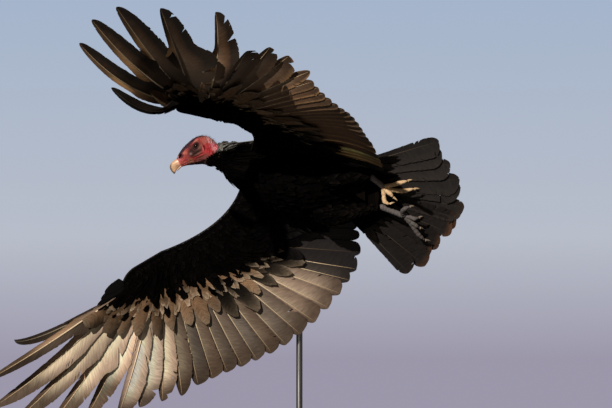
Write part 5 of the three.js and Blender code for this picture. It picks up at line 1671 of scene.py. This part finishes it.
def mottle_group():
    """Soft blotches over finer grain, as a mask from 0 to 1 and a height."""
    group, nodes, given, result = node_group(
        "mottle",
        (("Vector", "NodeSocketVector", None), ("Blotches", "NodeSocketFloat", 60.0),
         ("Grain", "NodeSocketFloat", 900.0)),
        (("Mask", "NodeSocketFloat"), ("Height", "NodeSocketFloat")),
    )
    blotch = nodes.noise(given.outputs["Vector"], given.outputs["Blotches"], 3.0)
    grain = nodes.noise(given.outputs["Vector"], given.outputs["Grain"], 2.0)
    nodes.wire(nodes.range(blotch, 0.32, 0.68, 0.0, 1.0), result.inputs["Mask"])
    nodes.wire(grain, result.inputs["Height"])
    return group


def group_of(name):
    """The shared node group of this name, made on its first use."""
    return bpy.data.node_groups.get(name) or {"barb streaks": barb_group, "mottle": mottle_group}[name]()


# Each material's shared group, the map it reads and the group's sockets, the range of the group's value
# with that of the colour's factor, the roughness, the bump's strength and depth, and shader sockets.
# No name is also a record slot's, because the solids bring materials of those names.
BARBS, BLOTCHES, HORN_TEXTURE = "barb streaks", "mottle", {"Blotches": 320.0, "Grain": 1800.0}
HORN_SOCKETS = {"Specular IOR Level": 0.5, "Coat Weight": 0.15, "Coat Roughness": 0.3}
MATERIALS = {
    "feather barbs": (
        BARBS, "lie", {"Fineness": 1.0, "Contrast": 0.34}, (0.6, 1.4, 0.6, 1.4), (0.42, 0.62), (0.22, 0.0004),
        {"Sheen Weight": 0.04, "Sheen Roughness": 0.45, "Specular IOR Level": 0.25}),
    "contour feathers": (
        BARBS, "lie", {"Fineness": 1.6, "Contrast": 0.42}, (0.6, 1.4, 0.55, 1.45), (0.8, 0.95),
        (0.35, 0.0005), {"Specular IOR Level": 0.0}),
    "bare skin": (
        BLOTCHES, "object", {"Blotches": 260.0, "Grain": 1500.0}, (0.0, 1.0, 0.84, 1.14), (0.46, 0.66),
        (0.35, 0.0005), {"Subsurface Weight": 0.12, "Subsurface Scale": 0.002, "Specular IOR Level": 0.14}),
    "bill horn": (
        BLOTCHES, "object", HORN_TEXTURE, (0.0, 1.0, 0.9, 1.08), (0.30, 0.42), (0.12, 0.0002), HORN_SOCKETS),
    "claw horn": (
        BLOTCHES, "object", HORN_TEXTURE, (0.0, 1.0, 0.9, 1.08), (0.35, 0.5), (0.12, 0.0002), HORN_SOCKETS),
    "wet eye": (
        BLOTCHES, "object", {"Blotches": 900.0, "Grain": 2500.0}, (0.0, 1.0, 0.85, 1.15), (0.10, 0.16),
        (0.02, 0.0001), {"Coat Weight": 0.35, "Coat Roughness": 0.03, "Specular IOR Level": 0.3}),
    "floor": (
        BLOTCHES, "object", {"Blotches": 1.5, "Grain": 60.0}, (0.0, 1.0, 0.95, 1.05), (0.7, 0.85),
        (0.1, 0.001), {}),
}


def new_material(name, texture, settings, sockets):
    """A new material: itself, its nodes, its shader and a shared group, with their sockets set."""
    made = bpy.data.materials.new(name)
    made.use_nodes = True
    nodes = Nodes(made.node_tree)
    shader = made.node_tree.nodes["Principled BSDF"]
    group = nodes.add("ShaderNodeGroup", node_tree=group_of(texture))
    for node, values in ((shader, sockets), (group, settings)):
        for label, value in values.items():
            node.inputs[label].default_value = value
    return made, nodes, shader, group


def add_bump(nodes, shader, group, strength, depth):
    """Bumps from the group's height."""
    relief = nodes.add("ShaderNodeBump")
    relief.inputs["Strength"].default_value = strength
    relief.inputs["Distance"].default_value = depth
    nodes.wire(group.outputs["Height"], relief.inputs["Height"])
    nodes.wire(relief.outputs["Normal"], shader.inputs["Normal"])


def material(name):
    """A row of MATERIALS, made on its first use: the mesh's own tint times a shade from its group."""
    if name in bpy.data.materials:
        return bpy.data.materials[name]
    texture, vector, settings, shade, rough, bump, sockets = MATERIALS[name]
    made, nodes, shader, group = new_material(name, texture, settings, sockets)
    if vector == "object":
        source = nodes.add("ShaderNodeTexCoord").outputs["Object"]
    else:
        source = nodes.add("ShaderNodeUVMap", uv_map=vector).outputs["UV"]
    nodes.wire(source, group.inputs["Vector"])
    tint = nodes.add("ShaderNodeAttribute", attribute_name="tint").outputs["Color"]
    first = group.outputs[0]
    nodes.wire(nodes.shade(tint, nodes.range(first, *shade)), shader.inputs["Base Color"])
    nodes.wire(nodes.range(first, *shade[:2], *rough), shader.inputs["Roughness"])
    add_bump(nodes, shader, group, *bump)
    return made


def finish_material(name, colour, rough, metal, stretch):
    """A stand's finish of one colour, with fine marks drawn out along the object's own axes."""
    made, nodes, shader, group = new_material(
        name, BLOTCHES, {"Blotches": 1.0, "Grain": 4.0}, {"Base Color": (*colour, 1), "Metallic": metal})
    source = nodes.add("ShaderNodeTexCoord").outputs["Object"]
    nodes.wire(nodes.scale(source, stretch), group.inputs["Vector"])
    nodes.wire(nodes.range(group.outputs["Mask"], 0.0, 1.0, *rough), shader.inputs["Roughness"])
    add_bump(nodes, shader, group, 0.05, 0.0001)
    return made


# ---------------- sizes and colours a user changes
def colour_property(name, description, value):
    """A linear colour of three channels."""
    return FloatVectorProperty(name=name, description=description, default=value, subtype="COLOR",
                               size=3, min=0.0, max=1.0)


def number_property(name, description, value, low, high, **unit):
    """A number between limits, a whole one if its default is whole."""
    kind = IntProperty if isinstance(value, int) else FloatProperty
    return kind(name=name, description=description, default=value, min=low, max=high, **unit)


class VulturePlumage(bpy.types.PropertyGroup):
    """Sizes and colours of the feathers."""

    contour_length: number_property(
        "Contour length", "Length of a body feather in millimetres", 40.0, 15.0, 80.0, subtype="DISTANCE")
    contour_width: number_property(
        "Contour width", "Width of a body feather in millimetres", 21.0, 8.0, 50.0, subtype="DISTANCE")
    strips: number_property(
        "Barb strips", "Strips of barbs in each vane of a flight feather", 60, 12, 90, subtype="UNSIGNED")
    seed: number_property(
        "Seed", "Start of the random numbers that scatter the small feathers", 5, 0, 10000,
        subtype="UNSIGNED")
    black: colour_property("Black", "Darkest body feathers", (0.0013, 0.0012, 0.0013))
    brown: colour_property("Brown", "Edges of the body feathers", (0.0038, 0.0031, 0.0028))
    worn: colour_property("Worn brown", "Edges and tips of the flight feathers", (0.055, 0.036, 0.024))
    vane: colour_property("Vane", "Silvery tan underside of the flight feathers", (0.41, 0.325, 0.245))
    ivory: colour_property("Ivory", "Shafts and the pale band beside them", (0.84, 0.72, 0.54))


class VultureHead(bpy.types.PropertyGroup):
    """Colours of the bare head and the bill."""

    red: colour_property("Red", "Bare skin of the face", (0.30, 0.021, 0.028))
    pink: colour_property("Pink", "Pale wrinkled skin of the nape", (0.50, 0.30, 0.34))
    crown: colour_property("Crown", "Dark line over forehead and crown", (0.035, 0.016, 0.026))
    horn: colour_property("Horn", "Ivory of the bill", (0.50, 0.32, 0.205))
    bristles: number_property(
        "Bristles", "Thin bristles scattered over crown, nape and cheeks", 520, 0, 3000,
        subtype="UNSIGNED")


class VultureStand(bpy.types.PropertyGroup):
    """Finish of the display stand."""

    steel: colour_property("Steel", "Brushed rods", (0.40, 0.41, 0.43))
    paint: colour_property("Paint", "Satin black base", (0.012, 0.013, 0.014))


class VultureStage(bpy.types.PropertyGroup):
    """Floor, light and lens."""

    floor: number_property(
        "Floor radius", "Radius of the round floor in metres", 6.5, 1.0, 20.0, unit="LENGTH")
    sun: number_property("Sun strength", "Irradiance of the low sun", 5.0, 0.0, 20.0, subtype="FACTOR")
    sun_colour: colour_property("Sun colour", "Warm white of the low sun", (1.0, 0.90, 0.76))
    sky: colour_property("Sky", "Pale blue sky behind the bird", (0.375, 0.46, 0.60))
    haze: colour_property("Haze", "Dull violet of the far land low in the sky", (0.33, 0.31, 0.40))
    bounce: colour_property("Bounce", "Warm light that comes back from the ground", (0.56, 0.44, 0.34))
    fill: number_property(
        "Fill", "Strength of the soft light on the shaded side", 0.11, 0.0, 3.0, subtype="FACTOR")
    lens: number_property(
        "Lens", "Focal length in millimetres on a sensor 36 wide", 400.0, 50.0, 1200.0, unit="CAMERA")


# ---------------- operators
class VULTURE_OT_skin(bpy.types.Operator):
    """Bare body under the feathers: head, neck, trunk, wing flesh, thighs and feet as one skin"""

    bl_idname = "vulture.build_skin"
    bl_label = "Build skin"

    def execute(self, context):
        head = context.scene.vulture_head
        grid = SkinGrid()
        u0, v0, u1, v1 = SKIN_CHARTS["body"]
        sides = grid.sides
        places = bird_to_world(grid.places)
        rows = np.interp(grid.s, (0, 1, 3), (v0, v0 + 0.6 * (v1 - v0), v1))
        columns = mix(u0, u1, np.arange(sides) / (sides - 1))
        chart = np.stack(np.broadcast_arrays(columns, rows[:, None]), -1)
        bare = head_tint(grid.head, head)
        share = ease(0.98, 1.1, grid.s)[:, None, None]
        body = Build()
        body.add(places, shell_faces(len(rows), sides), mix(bare, UNDER_COAT, share), chart)
        skin = body.finish("skin", material("bare skin"), SKIN_SHARP)
        extras = []

        def limb(rings, tint, rect):
            made = Build()
            u0, v0, u1, v1 = rect
            count, around = rings.shape[:2]
            add_rings(made, rings, tint, np.linspace(v0, v1, count), np.linspace(u0, u1, around))
            extras.append(made.finish("limb", material("bare skin"), SKIN_SHARP))

        for number, side in enumerate(SIDES):
            limb(build_wing_skin(Wing(side)), UNDER_COAT, SKIN_CHARTS[side])
            _, centre, radius, out = thigh_surface(side)
            rings = bird_to_world(centre[:, None] + out * radius[:, None, None])
            u0, v0, u1, v1 = SKIN_CHARTS["limbs"]
            low = mix(u0, u1, number / 2)
            limb(rings, UNDER_COAT, (low, v0, low + 0.08, v1))
            for k, (rings, tint) in enumerate(foot_tubes(side)):
                left = low + 0.085 * (k + 1)
                limb(bird_to_world(rings), tint, (left, v0, left + 0.07, v1))
        cutter = nostril_cutter()
        self.union(context, skin, extras, cutter)
        flesh = ["head", "neck", "trunk"]
        for side in SIDES:
            flesh += [f"{part}_{side}" for part in ("upper_arm", "forearm", "hand", "thigh", "foot")]
        place(skin, "bare_skin", *flesh)
        return {"FINISHED"}

    @staticmethod
    def union(context, skin, extras, cutter):
        """Joins the limbs to the body and cuts the nostrils, and keeps the result as one closed mesh."""
        for other, operation in [(limb, "UNION") for limb in extras] + [(cutter, "DIFFERENCE")]:
            step = skin.modifiers.new("join", "BOOLEAN")
            step.operation, step.object, step.solver = operation, other, "MANIFOLD"
        view = bpy.context.evaluated_depsgraph_get()
        joined = bpy.data.meshes.new_from_object(skin.evaluated_get(view))
        if len(joined.polygons) < len(skin.data.polygons) / 2:
            raise RuntimeError("the skin's limbs did not join its body")
        skin.modifiers.clear()
        skin.data = joined
        joined.name = "skin"
        for other in [*extras, cutter]:
            bpy.data.objects.remove(other)


def nostril_cutter():
    """Two slanted oval rods into the bill's root, which leave a nostril on each side of a wall."""
    c, n = ring_circle(32)
    x = NOSTRIL["length"] / 2 * c + NOSTRIL["height"] / 4 * n
    z = NOSTRIL["height"] / 2 * n - NOSTRIL["length"] / 4 * c
    made = Build()
    for inner, outer in ((0.7, 15.0), (-15.0, -0.7)):
        y = np.linspace(inner, outer, 12)
        depth = np.abs(y)[:, None]
        flare = mix(0.55, 1.12, ease(0, 8, depth))
        forward = NOSTRIL["forward"] + 1.4 * ease(8, 0, depth) + x * flare
        rings = np.stack(np.broadcast_arrays(forward, y[:, None], NOSTRIL["up"] + z * flare), -1)
        # The walls that the cut leaves take this dark maroon: painted shade inside the nostril.
        made.add(head_to_world(rings), shell_faces(12, 32), np.array((0.05, 0.010, 0.012)),
                 np.full((12 * 32, 2), 0.995))
    return made.finish("nostril", material("bare skin"), SKIN_SHARP)


class VULTURE_OT_bill(bpy.types.Operator):
    """The horny bill, upper and lower"""

    bl_idname = "vulture.build_bill"
    bl_label = "Build bill"

    def execute(self, context):
        head = context.scene.vulture_head
        made = Build()
        for (places, s), rect, ridged in ((upper_bill(), (0, 0.49), True), (lower_bill(), (0.51, 1), False)):
            tint = bill_tint(places, s, head, ridged)
            add_rings(made, head_to_world(places), tint, mix(*rect, s), np.linspace(0, 1, places.shape[1]))
        piece = made.finish("bill", material("bill horn"))
        place(piece, "horn", "bill_upper", "bill_lower")
        return {"FINISHED"}


class VULTURE_OT_eyes(bpy.types.Operator):
    """Both eyeballs, and the rims of skin round them"""

    bl_idname = "vulture.build_eyes"
    bl_label = "Build eyes"

    def execute(self, context):
        balls, lids = Build(), Build()
        for side, column in ((1, 0.0), (-1, 0.5)):
            places, tint = eye_ball(side)
            count, sides = places.shape[:2]
            add_rings(balls, head_to_world(places), tint, np.linspace(0.02, 0.98, count),
                      column + np.linspace(0.01, 0.49, sides))
            build_lids(lids, side)
        place(balls.finish("eyes", material("wet eye"), FINE_SHARP), "eye", "eye_left", "eye_right")
        place(lids.finish("eyelids", material("bare skin"), FINE_SHARP), "bare_skin")
        return {"FINISHED"}


class VULTURE_OT_claws(bpy.types.Operator):
    """The eight claws"""

    bl_idname = "vulture.build_claws"
    bl_label = "Build claws"

    def execute(self, context):
        made = Build()
        nodes = []
        for row, side in enumerate(SIDES):
            # Claws painted bright on the sunlit left foot and dark on the shaded right one.
            warm = np.array(CLAW_TONES[side])
            for k, toe in enumerate(LEGS[side]["toes"]):
                places, s = claw_rings(toe)
                tint = warm * mix(1.0, 0.32, ease(0.35, 1.0, s))[:, None, None] + 0 * places
                add_rings(made, bird_to_world(places), tint, s * 0.48 + row * 0.5,
                          (k + np.linspace(0, 0.95, places.shape[1])) / 4)
                nodes.append(f"claw_{side}_{k + 1}")
        place(made.finish("claws", material("claw horn"), SKIN_SHARP), "claw", *nodes)
        return {"FINISHED"}


class VULTURE_OT_flight(bpy.types.Operator):
    """Tertials, secondaries and primaries of both wings"""

    bl_idname = "vulture.build_flight_feathers"
    bl_label = "Build flight feathers"

    def execute(self, context):
        plumage = context.scene.vulture_plumage
        spans = feather_spans()
        for side in SIDES:
            made, wing = Build(), Wing(side)
            islands = len(spans) + len(ALULA)
            for number in range(len(spans)):
                build_remex(made, wing, spans, number, plumage, plumage.strips, (number, islands))
            build_alula(made, wing, spans[-1], plumage, plumage.strips, (len(spans), islands))
            piece = made.finish(f"flight_feathers_{side}", material("feather barbs"), VANE_SHARP)
            place(piece, "flight_feathers", f"tertials_{side}", f"secondaries_{side}", f"primaries_{side}")
        return {"FINISHED"}


class VULTURE_OT_tail(bpy.types.Operator):
    """The twelve tail feathers"""

    bl_idname = "vulture.build_tail"
    bl_label = "Build tail"

    def execute(self, context):
        plumage = context.scene.vulture_plumage
        made = Build()
        for number in range(TAIL["feathers"]):
            build_rectrix(made, number, plumage, plumage.strips)
        tail = made.finish("tail", material("feather barbs"), VANE_SHARP)
        place(tail, "flight_feathers", "tail_feathers")
        return {"FINISHED"}


class VULTURE_OT_coverts(bpy.types.Operator):
    """Rows of small feathers over both faces of both wings"""

    bl_idname = "vulture.build_coverts"
    bl_label = "Build coverts"

    def execute(self, context):
        plumage = context.scene.vulture_plumage
        for side in SIDES:
            wing = Wing(side)
            rng = np.random.default_rng(plumage.seed + SEEDS["coverts"] + wing.seed)
            for under, face in ((True, "under"), (False, "upper")):
                made = Build()
                build_coverts(made, wing, under, plumage, rng)
                place(made.finish(f"coverts_{face}_{side}", material("contour feathers")), "plumage")
            made = Build()
            build_edge_coverts(made, wing, plumage, rng)
            place(made.finish(f"coverts_edge_{side}", material("contour feathers")), "plumage")
        return {"FINISHED"}


class VULTURE_OT_body(bpy.types.Operator):
    """Contour feathers of neck, trunk, thighs and the tail's root"""

    bl_idname = "vulture.build_body_feathers"
    bl_label = "Build body feathers"

    def execute(self, context):
        plumage = context.scene.vulture_plumage
        rng = np.random.default_rng(plumage.seed)
        surface = SkinGrid(120, 34, 70, 120).surface()
        contours, ruff, rear = Build(), Build(), Build()
        build_contours(contours, surface, plumage, rng)
        build_ruff(ruff, surface, plumage, rng)
        build_tail_coverts(rear, plumage, rng)
        for side in SIDES:
            build_thigh_feathers(rear, side, plumage, rng)
        for made, name in ((contours, "body_feathers"), (ruff, "ruff"), (rear, "rump_and_thighs")):
            place(made.finish(name, material("contour feathers")), "plumage")
        return {"FINISHED"}


class VULTURE_OT_bristles(bpy.types.Operator):
    """Thin bristles on the bare head"""

    bl_idname = "vulture.build_bristles"
    bl_label = "Build bristles"

    def execute(self, context):
        count = context.scene.vulture_head.bristles
        if not count:
            return {"FINISHED"}
        rng = np.random.default_rng(SEEDS["bristles"])
        surface = SkinGrid(120, 10, 10, 96).surface()
        s = rng.uniform(0.12, 1.0, 9 * count)
        q = rng.uniform(0, 2 * np.pi, 9 * count)
        found = surface.look_up(s, q)
        x, _, z = head_local(found[:, :3]).T
        likely = 0.55 * ease(20, 27, z) * ease(44, 30, x) + 0.5 * ease(-14, -22, x)
        likely += 0.35 * spot(x, z, (26, 12), (6, 5)) + 0.3 * ease(-12, -20, z)
        keep = np.flatnonzero(rng.uniform(0, 1, len(s)) < likely)[:count]
        roots, normals = found[keep, :3], found[keep, 3:6]
        back = unit(np.array((-1.0, 0, 0.15)) @ HEAD_TURN.T - 0 * normals)
        ways = unit(normals + 0.6 * back + rng.normal(0, 0.3, roots.shape))
        length = rng.uniform(1.6, 3.2, len(roots))
        droop = back * length[:, None] * 0.5
        made = Build()
        spikes(made, roots - 0.3 * normals, ways, length, 0.13, (0.018, 0.012, 0.010), droop)
        place(made.finish("bristles", material("contour feathers"), FINE_SHARP), "plumage")
        return {"FINISHED"}


class VULTURE_OT_stand(bpy.types.Operator):
    """Brushed steel and satin black finishes for the stand"""

    bl_idname = "vulture.finish_stand"
    bl_label = "Finish stand"

    def execute(self, context):
        stand = context.scene.vulture_stand
        steel = finish_material("brushed steel", stand.steel, (0.22, 0.36), 1.0, (500, 500, 9))
        paint = finish_material("satin black", stand.paint, (0.32, 0.42), 0.0, (500, 500, 500))
        for name, stuff in (("stand_base", paint), ("stand_post", steel), ("stand_arm", steel)):
            node = bpy.data.objects[name]
            node.data.materials.clear()
            node.data.materials.append(stuff)
            node.data.polygons.foreach_set("material_index", np.zeros(len(node.data.polygons), np.int32))
        return {"FINISHED"}


class VULTURE_OT_stage(bpy.types.Operator):
    """Floor, low sun, pale sky and the camera"""

    bl_idname = "vulture.set_stage"
    bl_label = "Set stage"

    def execute(self, context):
        stage, scene = context.scene.vulture_stage, context.scene
        ring = np.arange(96) * 2 * np.pi / 96
        rings = np.stack([np.stack([r * np.cos(ring), r * np.sin(ring), 0 * ring + z], -1)
                          for r, z in ((0.3, -0.02), (1, -0.02), (1, 0), (0.3, 0))])
        rings[..., :2] *= stage.floor / MM
        rings[..., 2] /= MM
        rings[..., 2] -= 0.5
        made = Build()
        made.add(rings, shell_faces(4, 96), np.array(FLOOR_GREY))
        floor = made.finish("floor", material("floor"), 30)
        sun = bpy.data.objects.new("sun", bpy.data.lights.new("sun", "SUN"))
        sun.data.energy, sun.data.color, sun.data.angle = stage.sun, stage.sun_colour, math.radians(0.6)
        toward = unit(np.array(TOWARD_SUN))
        sun.rotation_euler = (math.acos(toward[2]), 0, math.atan2(toward[1], toward[0]) + math.pi / 2)
        scene.collection.objects.link(sun)

        world = scene.world or bpy.data.worlds.new("sky")
        scene.world = world
        world.use_nodes = True
        nodes = Nodes(world.node_tree)
        world.node_tree.nodes.clear()
        seen, lit = nodes.add("ShaderNodeBackground"), nodes.add("ShaderNodeBackground")
        height = nodes.add("ShaderNodeSeparateXYZ")
        nodes.wire(nodes.add("ShaderNodeTexCoord").outputs["Generated"], height.inputs["Vector"])
        fade = nodes.add("ShaderNodeValToRGB")
        nodes.wire(nodes.range(height.outputs["Z"], -0.03, 0.03, 0.0, 1.0), fade.inputs["Fac"])
        stops = fade.color_ramp.elements
        stops[0].position, stops[0].color = 0.12, (*stage.haze, 1)
        stops[1].position, stops[1].color = 1.0, (*stage.sky, 1)
        middle = stops.new(0.42)
        middle.color = (*mix(np.array(stage.sky), np.array(MIST), 0.7), 1)
        nodes.wire(fade.outputs["Color"], seen.inputs["Color"])
        lit.inputs["Color"].default_value = (*stage.bounce, 1)
        lit.inputs["Strength"].default_value = stage.fill
        blend, path = nodes.add("ShaderNodeMixShader"), nodes.add("ShaderNodeLightPath")
        nodes.wire(path.outputs["Is Camera Ray"], blend.inputs["Fac"])
        nodes.wire(lit.outputs["Background"], blend.inputs[1])
        nodes.wire(seen.outputs["Background"], blend.inputs[2])
        nodes.wire(blend.outputs["Shader"], nodes.add("ShaderNodeOutputWorld").inputs["Surface"])
        scene.view_settings.view_transform = "Standard"

        camera = bpy.data.objects.new("camera", bpy.data.cameras.new("camera"))
        camera.data.lens, camera.data.sensor_width = stage.lens, 36.0
        camera.data.clip_end = 200.0
        camera.location = CAMERA_AT
        camera.rotation_euler = (math.pi / 2, 0, 0)
        scene.collection.objects.link(camera)
        scene.camera = camera
        return {"FINISHED"}


OPERATORS = (
    VULTURE_OT_skin, VULTURE_OT_bill, VULTURE_OT_eyes, VULTURE_OT_claws, VULTURE_OT_flight,
    VULTURE_OT_tail, VULTURE_OT_coverts, VULTURE_OT_body, VULTURE_OT_bristles, VULTURE_OT_stand,
    VULTURE_OT_stage,
)
GROUPS = {
    "vulture_plumage": VulturePlumage, "vulture_head": VultureHead, "vulture_stand": VultureStand,
    "vulture_stage": VultureStage,
}


class VULTURE_PT_panel(bpy.types.Panel):
    """Sidebar panel with every size, colour and step of the model"""

    bl_idname = "VULTURE_PT_panel"
    bl_label = "Vulture"
    bl_space_type = "VIEW_3D"
    bl_region_type = "UI"
    bl_category = "Vulture"

    def draw(self, context):
        for label, group in GROUPS.items():
            box = self.layout.box()
            for name in group.__annotations__:
                box.prop(getattr(context.scene, label), name)
        for operator in OPERATORS:
            self.layout.operator(operator.bl_idname)


def register():
    for cls in (*GROUPS.values(), *OPERATORS, VULTURE_PT_panel):
        bpy.utils.register_class(cls)
    for label, group in GROUPS.items():
        setattr(bpy.types.Scene, label, PointerProperty(type=group))


def unregister():
    for label in GROUPS:
        delattr(bpy.types.Scene, label)
    for cls in reversed((*GROUPS.values(), *OPERATORS, VULTURE_PT_panel)):
        bpy.utils.unregister_class(cls)


def main():
    """Registers the add-on and runs every step in order."""
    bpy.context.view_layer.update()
    register()
    for operator in OPERATORS:
        section, name = operator.bl_idname.split(".")
        getattr(getattr(bpy.ops, section), name)()


if __name__ == "__main__":
    main()
